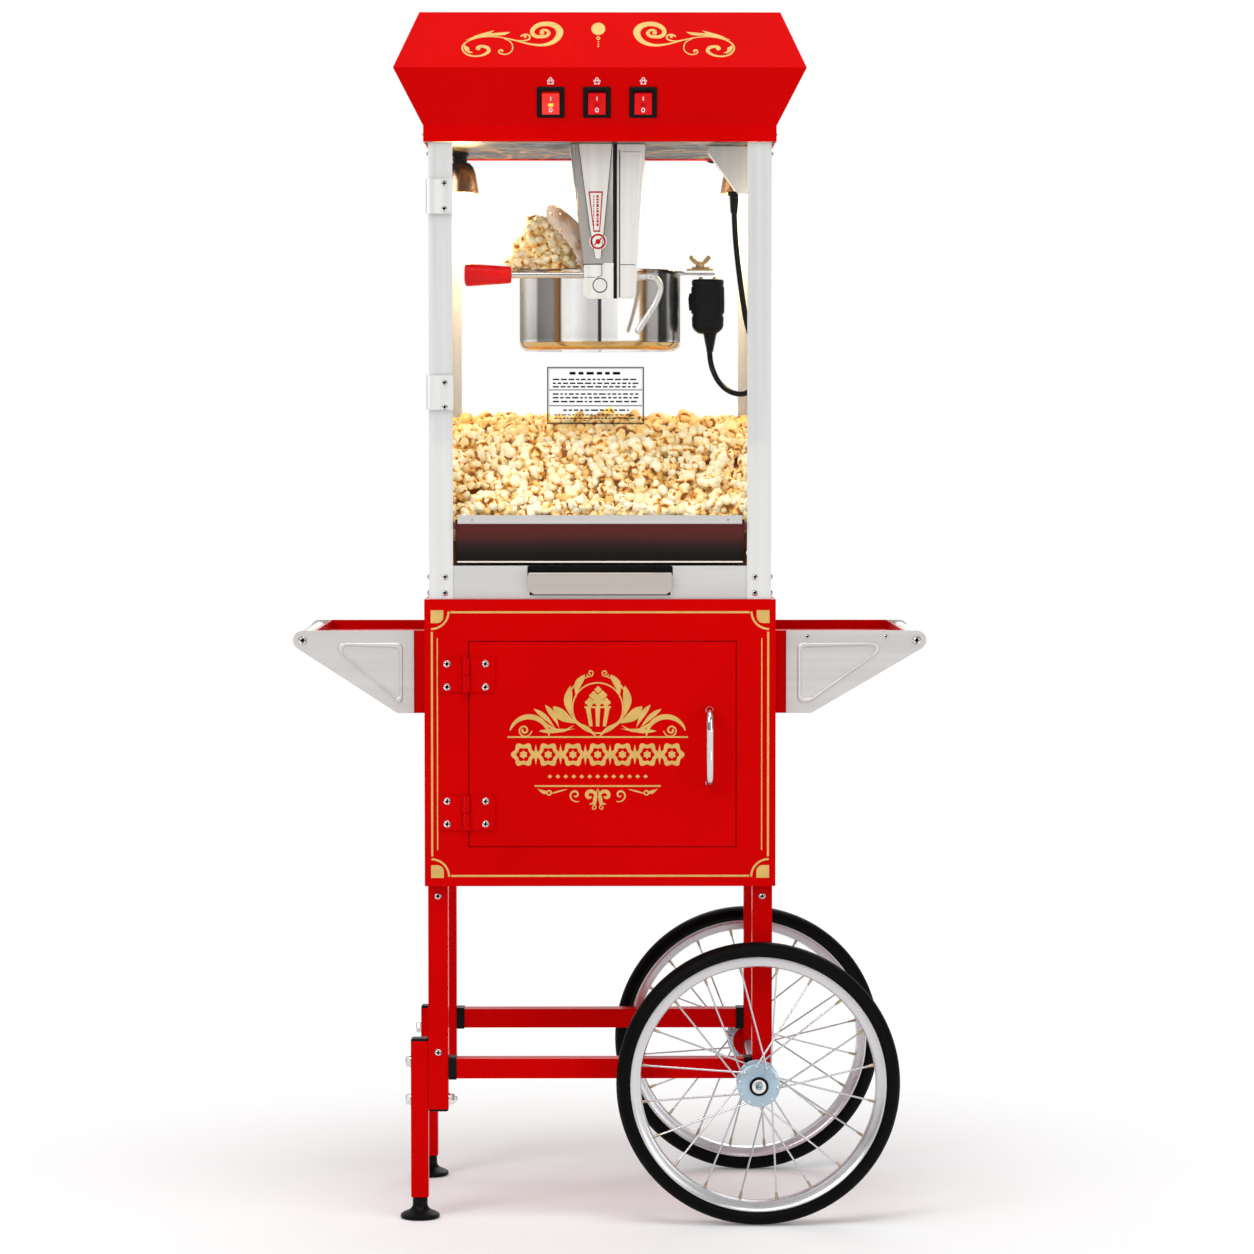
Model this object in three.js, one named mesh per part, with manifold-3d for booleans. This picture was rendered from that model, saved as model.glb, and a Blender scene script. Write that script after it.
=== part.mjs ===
// A popcorn maker on a cart: an electric kettle popper in a glazed cabinet, standing on a
// steel cart with a cupboard, two side trays, two spoked wheels and two levelling feet.
// Millimetres, +Z up. The serving side faces -Y and the wheels are on the +X side.
// Each function below makes one sub-part, as a closed solid, and the tree at the end places it.

import * as THREE from "three";
import { mergeVertices } from "three/addons/utils/BufferGeometryUtils.js";
import Module from "manifold-3d";

const wasm = await Module();
wasm.setup();

// ---------------------------------------------------------------- driving dimensions

const SHEET = 1.5; // steel sheet of the housings
const GAP = 0.3; // air left between two pieces that rest on each other
const TUBE = 25; // square tube of the legs and rails

const CART = { halfW: 220, halfD: 180, bottom: 424, top: 784 };
const CUPBOARD_DOOR = { left: -165, right: 171, bottom: 473, top: 732, depth: 15, gap: 1 };
const CUPBOARD_HINGE = { x: -167.5, y: -184.5, barrel: 4, leaf: 34, height: 43, upper: 668, lower: 495 };
const PULL = { x: 137, bottom: 554, top: 645, reach: 26, rod: 4.5 };

const LEG = { x: 204, y: 152.5, leftBottom: 140, rightBottom: 150 };
const EXTENSION = { width: 22, bottom: 28, top: 226 };
const FOOT = { disc: 25, neck: 9.5, discHeight: 12, stem: 4, stemTop: 60 };
const RAIL = { frontBottom: 179, backBottom: 200, height: 25 };

const WHEEL = { x: 198, y: 200, radius: 178, tyreIn: 161, rimIn: 147, halfWidth: 17, hubHalf: 26 };
const SPOKES = { count: 20, radius: 1.2, flange: 24, flangeY: 18, cross: 34 };
const AXLE = { radius: 6, half: 229 };

const TRAY = { top: 744, bottom: 640, halfD: 153.5, depth: 13, web: 14, bar: 10, nose: 12.3 };
const LEFT_TRAY = { side: -1, reach: 386, foot: 21 };
const RIGHT_TRAY = { side: 1, reach: 410.5, foot: 32 };

const POPPER = { halfW: 214, halfD: 175, bottom: CART.top + GAP, top: 1354, post: 30 };
const BASE = { top: 826, drawerHalfW: 88, drawerBottom: 789, drawerTop: 818 };
const FLAP = { halfW: 181, pivotY: -166, pivotZ: 830, top: 884, lean: 12, wing: 58 };
const DRAWER = { halfW: 84, back: 60, floor: 792, top: 814, lipHalfW: 90, lipTop: 818 };
const WINDOW = { thick: 3, bottom: BASE.top + GAP };
const GLASS_DOOR = { left: -206.5, right: 207.5, bottom: 981, top: 1352, thick: 3.7 };
const GLASS_HINGE = { x: -213.5, y: -179, barrel: 3.4, leafRight: -183, height: 43, upper: 1265, lower: 1021 };

const CANOPY = { bandTop: 1374, ridge: 1443, top: 1514, flare: 35.7, topInset: 31.5 };
const CEILING = { bottom: 1356, thick: 1.5 };
const SWITCH = { z: 1402, rowX: -3.7, pitch: 57.4, halfW: 10.8, halfH: 14.8, rest: 8 };

const PIVOT_Z = 1178; // the axis that the kettle tips about runs along Y at x = 0
const POT = { radius: 103.5, wall: 2, bottom: 1098, rim: 1199, flange: 110, corner: 13 };
const ARM = { inner: 116, thick: 3 };
const TRUNNION = { radius: 8.6, hole: 9, halfW: 22, reach: 122 };
const KETTLE_ROD = { y: -110.5, z: 1191.5, radius: 4.5, left: -111.5 };
const GRIP = { length: 59.5, bigEnd: 14.5, smallEnd: 10.5 };
const LID = { radius: 108, thick: 1.6, hingeX: -8, open: 54, turn: THREE.MathUtils.degToRad(13) };
const PLUG = { x: 139, halfW: 22, halfD: 20, bottom: 1120, top: 1190 };
const LAMP = { x: 182, y: 60, bottom: 1304, radius: 25 };
const OUTLET = { y: -60, halfD: 15, right: 191, left: 138, toe: 176, bottom: 1295 };
const LEAD_DIAMETER = 7;
const SHAFT = { radius: 4, top: 1212 };
const MOTOR = { x: 0, y: -95, halfW: 42, halfD: 38, radius: 32, boss: 5 };

// ---------------------------------------------------------------- materials

const paint = (color, roughness, metalness) =>
  new THREE.MeshStandardMaterial({ color, roughness, metalness });
const RED = paint(0xcc0505, 0.35, 0.1);
const BRUSHED = paint(0xc9c9c6, 0.4, 0.9);
const POLISHED = paint(0xd6d2cc, 0.12, 1);
const CHROME = paint(0xe8e8ea, 0.08, 1);
const ZINC = paint(0x9fb4c0, 0.35, 0.9);
const BLACK = paint(0x111111, 0.5, 0);
const RUBBER = paint(0x0c0c0c, 0.85, 0);
const TINTED = paint(0x4a1613, 0.1, 0);
const RED_PLASTIC = paint(0xd40a0a, 0.3, 0);
const CLEAR = new THREE.MeshStandardMaterial({ color: 0xf4f8f8, roughness: 0.05, transparent: true, opacity: 0.2 });

// ---------------------------------------------------------------- shapes

// A closed geometry as a solid that can be joined and cut. Its corners are rounded to a
// micrometre, so that faces meant to be flush with each other are exactly flush.
function solid(geometry) {
  const bare = geometry.clone();
  bare.deleteAttribute("normal");
  bare.deleteAttribute("uv");
  const merged = mergeVertices(bare, 1e-4);
  const vertProperties = merged.attributes.position.array.map((v) => Math.round(v * 1000) / 1000);
  const triVerts = new Uint32Array(merged.index.array);
  return new wasm.Manifold(new wasm.Mesh({ numProp: 3, vertProperties, triVerts }));
}

// A solid back to a geometry with flat faces.
function geometryOf(shape) {
  const { vertProperties, numProp, triVerts } = shape.getMesh();
  const position = new Float32Array(triVerts.length * 3);
  triVerts.forEach((v, i) => position.set(vertProperties.subarray(v * numProp, v * numProp + 3), i * 3));
  const geometry = new THREE.BufferGeometry();
  geometry.setAttribute("position", new THREE.BufferAttribute(position, 3));
  geometry.computeVertexNormals();
  return geometry;
}

const join = (...geometries) => geometries.map(solid).reduce((a, b) => a.add(b));
const cut = (whole, ...tools) => tools.map(solid).reduce((a, b) => a.subtract(b), whole);

// A box between two corners.
function box(x0, x1, y0, y1, z0, z1) {
  const geometry = new THREE.BoxGeometry(Math.abs(x1 - x0), y1 - y0, z1 - z0);
  return geometry.translate((x0 + x1) / 2, (y0 + y1) / 2, (z0 + z1) / 2);
}

// A cylinder along an axis, from one place on it to another; at holds the other two coordinates.
function rod(axis, from, to, radius, at, sides = 16) {
  const geometry = new THREE.CylinderGeometry(radius, radius, to - from, sides);
  const middle = (from + to) / 2;
  if (axis === "x") return geometry.rotateZ(-Math.PI / 2).translate(middle, at[0], at[1]);
  if (axis === "y") return geometry.translate(at[0], middle, at[1]);
  return geometry.rotateX(Math.PI / 2).translate(at[0], at[1], middle);
}

const shapeOf = (points) => new THREE.Shape(points.map(([u, v]) => new THREE.Vector2(u, v)));

// A flat outline in X and Z, given thickness along Y.
function plateXZ(shape, y0, y1, curveSegments = 6) {
  const geometry = new THREE.ExtrudeGeometry(shape, { depth: y1 - y0, bevelEnabled: false, curveSegments });
  return geometry.rotateX(Math.PI / 2).translate(0, y1, 0);
}

// A flat outline in Y and Z, given thickness along X.
function plateYZ(points, x0, x1) {
  const geometry = new THREE.ExtrudeGeometry(shapeOf(points), { depth: x1 - x0, bevelEnabled: false });
  const turn = new THREE.Matrix4().makeBasis(
    new THREE.Vector3(0, 1, 0), new THREE.Vector3(0, 0, 1), new THREE.Vector3(1, 0, 0));
  return geometry.applyMatrix4(turn).translate(x0, 0, 0);
}

// A profile of [radius, height] turned about Z. It starts and ends on the axis, or closes on itself.
function turned(profile, segments) {
  const points = profile.map(([r, z]) => new THREE.Vector2(r, z));
  return new THREE.LatheGeometry(points, segments).rotateX(Math.PI / 2);
}

// A round rod bent along points.
function bentRod(points, radius, sides, steps) {
  const path = new THREE.CatmullRomCurve3(points.map((p) => new THREE.Vector3(...p)), false, "centripetal");
  const section = [];
  for (let i = 0; i < sides; i++) {
    const turn = (2 * Math.PI * i) / sides;
    section.push([radius * Math.cos(turn), radius * Math.sin(turn)]);
  }
  return new THREE.ExtrudeGeometry(shapeOf(section), { steps, extrudePath: path });
}

// A stack of rectangles, each {x, y, z} with half width, half depth and height, as one closed hull.
function stackedHip(rings) {
  const corners = [[-1, -1], [1, -1], [1, 1], [-1, 1]];
  const vertices = rings.flatMap(({ x, y, z }) => corners.map(([i, j]) => [i * x, j * y, z])).flat();
  const index = [0, 2, 1, 0, 3, 2];
  for (let r = 0; r + 1 < rings.length; r++) {
    for (let c = 0; c < 4; c++) {
      const a = 4 * r + c;
      const b = 4 * r + ((c + 1) % 4);
      index.push(a, b, b + 4, a, b + 4, a + 4);
    }
  }
  const t = 4 * (rings.length - 1);
  index.push(t, t + 1, t + 2, t, t + 2, t + 3);
  const geometry = new THREE.BufferGeometry();
  geometry.setAttribute("position", new THREE.Float32BufferAttribute(vertices, 3));
  geometry.setIndex(index);
  return geometry;
}

function place(parent, name, shape, material) {
  const geometry = shape.isBufferGeometry ? shape : geometryOf(shape);
  const mesh = new THREE.Mesh(geometry, material);
  mesh.name = name;
  parent.add(mesh);
  return mesh;
}

// ---------------------------------------------------------------- cart cupboard

function cartCabinet() {
  const { halfW, halfD, bottom, top } = CART;
  const door = CUPBOARD_DOOR;
  const wall = solid(box(-halfW, halfW, -halfD, halfD, bottom, top));
  return cut(
    wall,
    box(-halfW + SHEET, halfW - SHEET, -halfD + SHEET, halfD - SHEET, bottom + SHEET, top - SHEET),
    box(door.left, door.right, -halfD - 1, -halfD + 5, door.bottom, door.top),
  );
}

// The cupboard door is a folded pan, with its half of each hinge on its face.
function cartDoor() {
  const { left, right, bottom, top, depth, gap } = CUPBOARD_DOOR;
  const front = -CART.halfD;
  const hinge = CUPBOARD_HINGE;
  const leaf = (z) => [
    box(hinge.x + hinge.barrel + GAP, hinge.x + hinge.leaf + 2, front - 2, front + 0.5, z, z + hinge.height),
    rod("z", z, z + hinge.height / 2 - GAP, hinge.barrel, [hinge.x, hinge.y], 12),
    box(hinge.x, hinge.x + hinge.barrel + 2, front - 4, front - 1, z, z + hinge.height / 2 - GAP),
  ];
  const pan = join(
    box(left + gap, right - gap, front, front + depth, bottom + gap, top - gap),
    ...leaf(hinge.upper),
    ...leaf(hinge.lower),
  );
  const inner = gap + SHEET;
  return cut(
    pan,
    box(left + inner, right - inner, front + SHEET, front + depth + 1, bottom + inner, top - inner),
  );
}

// The fixed leaf, on the cupboard's face, with the upper half of the barrel.
function cupboardHinge(z) {
  const { x, y, barrel, leaf, height } = CUPBOARD_HINGE;
  const front = -CART.halfD - GAP;
  return join(
    box(x - leaf, x - barrel - GAP, front - 2, front, z, z + height),
    rod("z", z + height / 2 + GAP, z + height, barrel, [x, y], 12),
    box(x - barrel - 1, x, front - 3.4, front - 0.8, z + height / 2 + GAP, z + height),
  );
}

// A bow handle for the cupboard door.
function doorPull() {
  const { x, bottom, top, reach, rod: radius } = PULL;
  const face = -CART.halfD - GAP;
  const out = face - reach;
  const path = [
    [x, face, top], [x, face - 8, top], [x, out + 6, top - 3], [x, out, top - 12],
    [x, out - 1, (top + bottom) / 2],
    [x, out, bottom + 12], [x, out + 6, bottom + 3], [x, face - 8, bottom], [x, face, bottom],
  ];
  return bentRod(path, radius, 8, 24);
}

// ---------------------------------------------------------------- side trays

// A shallow tray, whose folded end below it is screwed to the cupboard's side.
function sideTray({ side, reach }) {
  const { top, bottom, halfD, depth, web, bar } = TRAY;
  const wall = CART.halfW + GAP;
  const root = CART.halfW + web;
  const end = reach - TRAY.nose - bar - 6;
  const floor = top - depth;
  const outline = [[wall, bottom], [root, bottom], [root, floor], [end, floor], [end, top], [wall, top]];
  const inner = halfD - SHEET;
  return cut(
    solid(plateXZ(shapeOf(outline.map(([x, z]) => [side * x, z])), -halfD, halfD)),
    box(side * (wall + SHEET), side * (end - SHEET), -inner, inner, floor + SHEET, top + 1),
    box(side * (wall + SHEET), side * (root + 1), -inner, inner, bottom - 1, floor - SHEET),
  );
}

// The triangular side plate of a tray, with a round nose that holds the handle bar.
function trayBracket({ side, reach, foot }, y0, y1) {
  const { top, bottom, web, nose } = TRAY;
  const root = CART.halfW + web;
  const centre = [reach - nose, top - nose];
  const heel = [root + foot, bottom];
  const toHeel = Math.atan2(heel[1] - centre[1], heel[0] - centre[0]);
  const distance = Math.hypot(heel[0] - centre[0], heel[1] - centre[1]);
  const tangent = toHeel + Math.acos(nose / distance);
  const points = [[root, bottom], heel];
  const turns = 10;
  for (let i = 0; i <= turns; i++) {
    const angle = tangent + ((Math.PI / 2 - tangent) * i) / turns;
    points.push([centre[0] + nose * Math.cos(angle), centre[1] + nose * Math.sin(angle)]);
  }
  points.push([root, top]);
  const outline = shapeOf(points.map(([x, z]) => [side * x, z]));
  return plateXZ(outline, y0, y1);
}

function trayBar({ side, reach }) {
  const half = TRAY.halfD + GAP;
  return rod("y", -half, half, TRAY.bar, [side * (reach - TRAY.nose), TRAY.top - TRAY.nose], 20);
}

// ---------------------------------------------------------------- legs, rails and feet

function squareTube(x, y, width, z0, z1) {
  const half = width / 2;
  const inner = half - SHEET;
  return cut(
    solid(box(x - half, x + half, y - half, y + half, z0, z1)),
    box(x - inner, x + inner, y - inner, y + inner, z0 - 1, z1 + 1),
  );
}

const leftLeg = (y) => squareTube(-LEG.x, y, TUBE, LEG.leftBottom, CART.bottom - GAP);

// A right leg ends in a welded plate that the axle passes through.
function rightLeg(y) {
  const out = Math.sign(y);
  const face = out * (LEG.y + TUBE / 2);
  const outward = (a, b) => [face + out * a, face + out * b].sort((p, q) => p - q);
  const tube = squareTube(LEG.x, y, TUBE, LEG.rightBottom, CART.bottom - GAP);
  const lug = solid(rod("y", ...outward(GAP, 3), 20, [WHEEL.x, WHEEL.radius], 20));
  const strap = solid(box(LEG.x - TUBE / 2, LEG.x + TUBE / 2, ...outward(-1, 3), WHEEL.radius, 225));
  const hole = rod("y", y - 30, y + 30, AXLE.radius + GAP, [WHEEL.x, WHEEL.radius]);
  return cut(tube.add(lug).add(strap), hole);
}

function rail(y) {
  const end = LEG.x - TUBE / 2 - GAP;
  const half = TUBE / 2;
  const { frontBottom, backBottom, height } = RAIL;
  const bottom = y < 0 ? frontBottom : backBottom;
  return cut(
    solid(box(-end, end, y - half, y + half, bottom, bottom + height)),
    box(-end - 1, end + 1, y - half + SHEET, y + half - SHEET, bottom + SHEET, bottom + height - SHEET),
  );
}

// The extension is bolted to the outer side of a left leg, and its lower end is threaded for the foot.
const extensionX = -(LEG.x + TUBE / 2 + GAP + EXTENSION.width / 2);
function extension(y) {
  const { width, bottom, top } = EXTENSION;
  const plug = 8;
  const half = width / 2 - 1;
  const nut = box(extensionX - half, extensionX + half, y - half, y + half, bottom, bottom + plug);
  const tube = squareTube(extensionX, y, width, bottom, top).add(solid(nut));
  return cut(tube, rod("z", bottom - 1, bottom + plug + 1, FOOT.stem + GAP, [extensionX, y], 12));
}

function foot() {
  const { disc, neck, discHeight, stem, stemTop } = FOOT;
  const profile = [
    [0, 0], [disc - 3, 0], [disc, 3], [disc - 1, 6], [neck + 4, discHeight], [neck, discHeight + 4],
    [neck, EXTENSION.bottom - GAP], [stem, EXTENSION.bottom - GAP], [stem, stemTop], [0, stemTop],
  ];
  return turned(profile, 16);
}

// ---------------------------------------------------------------- wheels

// Wheels are made about their own axis, along Z, and turned to Y by their group.
function tyre() {
  const { radius, tyreIn, halfWidth } = WHEEL;
  const seat = tyreIn + GAP;
  const shoulder = radius - 6;
  const profile = [
    [seat, -halfWidth + 5], [shoulder, -halfWidth], [radius - 1.5, -7], [radius, 0],
    [radius - 1.5, 7], [shoulder, halfWidth], [seat, halfWidth - 5], [seat, -halfWidth + 5],
  ];
  return turned(profile, 36);
}

// Rim, hub and laced spokes are one wheel: each spoke runs from a hub flange to the rim.
function spokedWheel() {
  const { tyreIn, rimIn, hubHalf } = WHEEL;
  const { count, radius, flange, flangeY, cross } = SPOKES;
  const rim = turned([[rimIn, -8], [tyreIn, -11], [tyreIn, 11], [rimIn, 8], [rimIn, -8]], 36);
  const bore = AXLE.radius + GAP;
  const hub = turned([
    [bore, -hubHalf], [13, -hubHalf], [13, -flangeY - 2], [27, -flangeY - 2], [27, -flangeY + 1],
    [12, -flangeY + 3], [12, flangeY - 3], [27, flangeY - 1], [27, flangeY + 2], [13, flangeY + 2],
    [13, hubHalf], [bore, hubHalf], [bore, -hubHalf],
  ], 16);
  let wheel = join(rim, hub);
  for (let i = 0; i < count; i++) {
    const side = i % 2 ? 1 : -1;
    const lean = THREE.MathUtils.degToRad(cross) * (Math.floor(i / 2) % 2 ? 1 : -1);
    const outer = (2 * Math.PI * (i + 0.5)) / count;
    const inner = outer + lean;
    const from = new THREE.Vector3(flange * Math.cos(inner), flange * Math.sin(inner), side * flangeY);
    const to = new THREE.Vector3(
      (rimIn + 3) * Math.cos(outer), (rimIn + 3) * Math.sin(outer), side * 2);
    wheel = wheel.add(solid(strut(from, to, radius, 5)));
  }
  return wheel;
}

// A straight round strut between two points.
function strut(from, to, radius, sides) {
  const along = to.clone().sub(from);
  const geometry = new THREE.CylinderGeometry(radius, radius, along.length(), sides);
  const turn = new THREE.Quaternion().setFromUnitVectors(new THREE.Vector3(0, 1, 0), along.clone().normalize());
  const middle = from.clone().add(to).multiplyScalar(0.5);
  return geometry.applyQuaternion(turn).translate(middle.x, middle.y, middle.z);
}

const axle = () => rod("y", -AXLE.half, AXLE.half, AXLE.radius, [WHEEL.x, WHEEL.radius]);

// ---------------------------------------------------------------- popper housing

// A corner post is an angle of sheet; i and j point from the cabinet's middle to its corner.
function post(i, j) {
  const { halfW, halfD, bottom, top, post: width } = POPPER;
  const x = i * halfW;
  const y = j * halfD;
  const ys = (a, b) => (a < b ? [a, b] : [b, a]);
  return join(
    box(x, x - i * width, ...ys(y, y - j * SHEET), bottom, top),
    box(x, x - i * SHEET, ...ys(y, y - j * width), bottom, top),
  );
}

// The base carries the deck, whose slots let unpopped kernels fall into the drawer.
function baseFrame() {
  const halfW = POPPER.halfW - SHEET - GAP;
  const halfD = POPPER.halfD - SHEET - GAP;
  const bottom = POPPER.bottom;
  const { top, drawerHalfW, drawerBottom, drawerTop } = BASE;
  const shell = cut(
    solid(box(-halfW, halfW, -halfD, halfD, bottom, top)),
    box(-halfW + SHEET, halfW - SHEET, -halfD + SHEET, halfD - SHEET, bottom + SHEET, top - SHEET),
    box(-drawerHalfW, drawerHalfW, -halfD - 1, -halfD + 5, drawerBottom, drawerTop),
  );
  const slots = [-100, -70, -40, -10, 20].map((y) => box(-70, 70, y, y + 9, top - 5, top + 1));
  return cut(shell, ...slots);
}

// The drawer is a pan with a leaning front lip to pull it by.
function kernelDrawer() {
  const { halfW, back, floor, top, lipHalfW, lipTop } = DRAWER;
  const front = -(POPPER.halfD - SHEET) - 2.5;
  const lean = 9;
  const pan = cut(
    solid(box(-halfW, halfW, front, back, floor, top)),
    box(-halfW + SHEET, halfW - SHEET, front + SHEET, back - SHEET, floor + SHEET, top + 1),
  );
  const lip = plateYZ([
    [front, floor - 1], [front - 2, floor - 1], [front - 2 - lean, lipTop], [front - lean, lipTop],
    [front - 1, floor + 8], [front + 0.5, floor + 8],
  ], -lipHalfW, lipHalfW);
  return pan.add(solid(lip));
}

// The serving flap leans out from its pivot, and its two wings keep the popcorn from the sides.
function servingFlap() {
  const { halfW, pivotY, pivotZ, top, lean, wing } = FLAP;
  const thick = 2.5;
  const steps = 8;
  const outer = [];
  const inner = [];
  for (let i = 0; i <= steps; i++) {
    const t = i / steps;
    const y = pivotY - lean * t * t;
    const z = pivotZ + (top - pivotZ) * t;
    outer.push([y, z]);
    inner.unshift([y + thick, z]);
  }
  const panel = plateYZ([...outer, ...inner], -halfW, halfW);
  const strip = box(-halfW + 6, halfW - 6, pivotY - lean - 2, pivotY - lean + 4, top - 8, top + 5);
  const cheek = [[pivotY + 1, pivotZ]];
  const turns = 6;
  for (let i = 0; i <= turns; i++) {
    const angle = (i / turns) * (Math.PI / 2) + 0.1;
    cheek.push([pivotY + 1 + wing * Math.cos(angle) * 0.7, pivotZ + (wing - 6) * Math.sin(angle)]);
  }
  return join(panel, strip, plateYZ(cheek, -halfW, -halfW + 2), plateYZ(cheek, halfW - 2, halfW));
}

function sideWindow(side) {
  const outer = side * (POPPER.halfW - SHEET - GAP);
  const inner = outer - side * WINDOW.thick;
  const front = POPPER.halfD - SHEET - GAP;
  return box(outer, inner, -front, front - WINDOW.thick - GAP, WINDOW.bottom, POPPER.top - GAP);
}

function backWindow() {
  const halfW = POPPER.halfW - SHEET - GAP;
  const back = POPPER.halfD - SHEET - GAP;
  return box(-halfW, halfW, back - WINDOW.thick, back, WINDOW.bottom, POPPER.top - GAP);
}

const glassDoorFront = -POPPER.halfD - GAP - GLASS_DOOR.thick;
function glassDoor() {
  const { left, right, bottom, top, thick } = GLASS_DOOR;
  return box(left, right, glassDoorFront, glassDoorFront + thick, bottom, top);
}

// The moving leaf of a glass door hinge, with its barrel at the cabinet's corner.
function glassDoorHinge(z) {
  const { x, y, barrel, leafRight, height } = GLASS_HINGE;
  const back = glassDoorFront - GAP;
  return join(
    box(x + 1, leafRight, back - 1.5, back, z, z + height),
    rod("z", z, z + height, barrel, [x, y], 12),
  );
}

// ---------------------------------------------------------------- canopy, ceiling and switches

const switchSlope = Math.atan2(CANOPY.flare, CANOPY.ridge - CANOPY.bandTop);
const switchY = -(CART.halfD + (CANOPY.flare * (SWITCH.z - CANOPY.bandTop)) / (CANOPY.ridge - CANOPY.bandTop));
const switchX = [-1, 0, 1].map((i) => SWITCH.rowX + i * SWITCH.pitch);

function canopyRings(inset, bottom) {
  const { bandTop, ridge, top, flare, topInset } = CANOPY;
  const ring = (out, z) => ({ x: CART.halfW + out - inset, y: CART.halfD + out - inset, z });
  return [ring(0, bottom), ring(0, bandTop), ring(flare, ridge), ring(flare - topInset, top - inset)];
}

// The canopy is a folded shell, open below, with three switch holes and the inlet of the mains lead.
function canopy() {
  const inlet = { x: 150, y: CART.halfD, z: (POPPER.top + CANOPY.bandTop) / 2, radius: 8 };
  const shell = cut(
    solid(stackedHip(canopyRings(0, POPPER.top + GAP))),
    stackedHip(canopyRings(SHEET, POPPER.top - 5)),
  ).add(solid(rod("y", inlet.y - 2, inlet.y + 12, inlet.radius, [inlet.x, inlet.z])));
  const holes = switchX.map((x) =>
    box(-SWITCH.halfW - 1, SWITCH.halfW + 1, -12, 12, -SWITCH.halfH - 1, SWITCH.halfH + 1)
      .rotateX(switchSlope)
      .translate(x, switchY, SWITCH.z));
  return cut(shell, ...holes);
}

// A rocker, made about its own pivot with its face towards -Y.
function rocker() {
  const { halfW, halfH } = SWITCH;
  return plateYZ([
    [9, -halfH + 4], [-5, -halfH], [-2.5, 0], [-5, halfH], [9, halfH - 4],
  ], -halfW, halfW);
}

function ceilingPlate() {
  const { bottom, thick } = CEILING;
  const halfW = CART.halfW - SHEET - 1;
  const halfD = CART.halfD - SHEET - 1;
  return cut(
    solid(box(-halfW, halfW, -halfD, halfD, bottom, bottom + thick)),
    rod("z", bottom - 1, bottom + thick + 1, MOTOR.boss + 1, [MOTOR.x, MOTOR.y]),
  );
}

// The agitator motor stands on the ceiling plate over the front arm, which its drive runs down.
function agitatorMotor() {
  const foot = CEILING.bottom + CEILING.thick + GAP;
  const { x, y, halfW, halfD, radius, boss } = MOTOR;
  return join(
    box(x - halfW, x + halfW, y - halfD, y + halfD, foot, foot + 4),
    rod("z", foot + 3, foot + 62, radius, [x, y], 20),
    rod("z", CEILING.bottom, foot + 2, boss, [x, y], 12),
  );
}

// A heat lamp: the socket, its bell shade and the bulb that fills the shade.
function lamp() {
  const { bottom, radius } = LAMP;
  const top = CEILING.bottom - GAP;
  const shadeTop = bottom + 38;
  return turned([
    [0, bottom - 6], [8, bottom - 4], [12, bottom], [radius, bottom], [radius - 3, bottom + 16],
    [13, shadeTop], [9, shadeTop + 2], [9, top], [0, top],
  ], 20);
}

// The steel box that the kettle's lead comes out of.
function leadOutletBox() {
  const { y, halfD, left, right, toe, bottom } = OUTLET;
  const top = CEILING.bottom - GAP;
  return plateXZ(
    shapeOf([[left, top], [left, top - 8], [toe, bottom], [right, bottom], [right, top]]),
    y - halfD, y + halfD);
}

// ---------------------------------------------------------------- kettle

// Two arms hang from one plate. Each has an open notch and the hole that a trunnion turns in.
function kettleHanger() {
  const top = CEILING.bottom - GAP;
  const plate = top - 3;
  const { inner, thick } = ARM;
  const arm = (y0) => {
    const outline = shapeOf([
      [-38, top], [-21, 1204], [3, 1204], [3, 1188], [-20, 1188], [-20, 1168], [-14, 1162],
      [43, 1162], [58, top],
    ]);
    return plateXZ(outline, y0, y0 + thick);
  };
  return cut(
    join(arm(-inner - thick), arm(inner), box(-38, -12, -inner, inner, plate, top),
      box(12, 58, -inner, inner, plate, top)),
    rod("y", -inner - 10, inner + 10, TRUNNION.hole, [0, PIVOT_Z]),
  );
}

// The pot, with a trunnion on each side and the tab that holds the heater's pins.
function kettlePot() {
  const { radius, wall, bottom, rim, flange, corner } = POT;
  const inner = radius - wall;
  const floor = bottom + 6;
  const soften = corner * 0.3;
  const bowl = turned([
    [0, bottom], [radius - corner, bottom], [radius - soften, bottom + soften], [radius, bottom + corner],
    [radius, rim - 3], [flange, rim - 2], [flange, rim], [inner, rim],
    [inner, floor + 6], [inner - 6, floor], [0, floor],
  ], 36);
  const { halfW, reach, radius: pin } = TRUNNION;
  const side = (out) => [
    box(-halfW + 6, halfW, ...[out * 98, out * 108].sort((a, b) => a - b), PIVOT_Z - 13, rim - 2),
    rod("y", ...[out * 104, out * reach].sort((a, b) => a - b), pin, [0, PIVOT_Z]),
  ];
  const tab = box(100, 148, -12, 12, rim - 4, rim - 1);
  const cavity = rod("z", floor + 8, rim + 2, inner, [0, 0], 36);
  return cut(join(bowl, ...side(-1), ...side(1), tab), cavity);
}

// The part of a disc that lies to one side of a straight cut at x.
function halfDisc(side, x, radius) {
  const shape = new THREE.Shape();
  const edge = Math.acos(x / radius);
  if (side < 0) shape.absarc(0, 0, radius, edge, 2 * Math.PI - edge, false);
  else shape.absarc(0, 0, radius, -edge, edge, false);
  shape.closePath();
  return shape;
}

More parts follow.
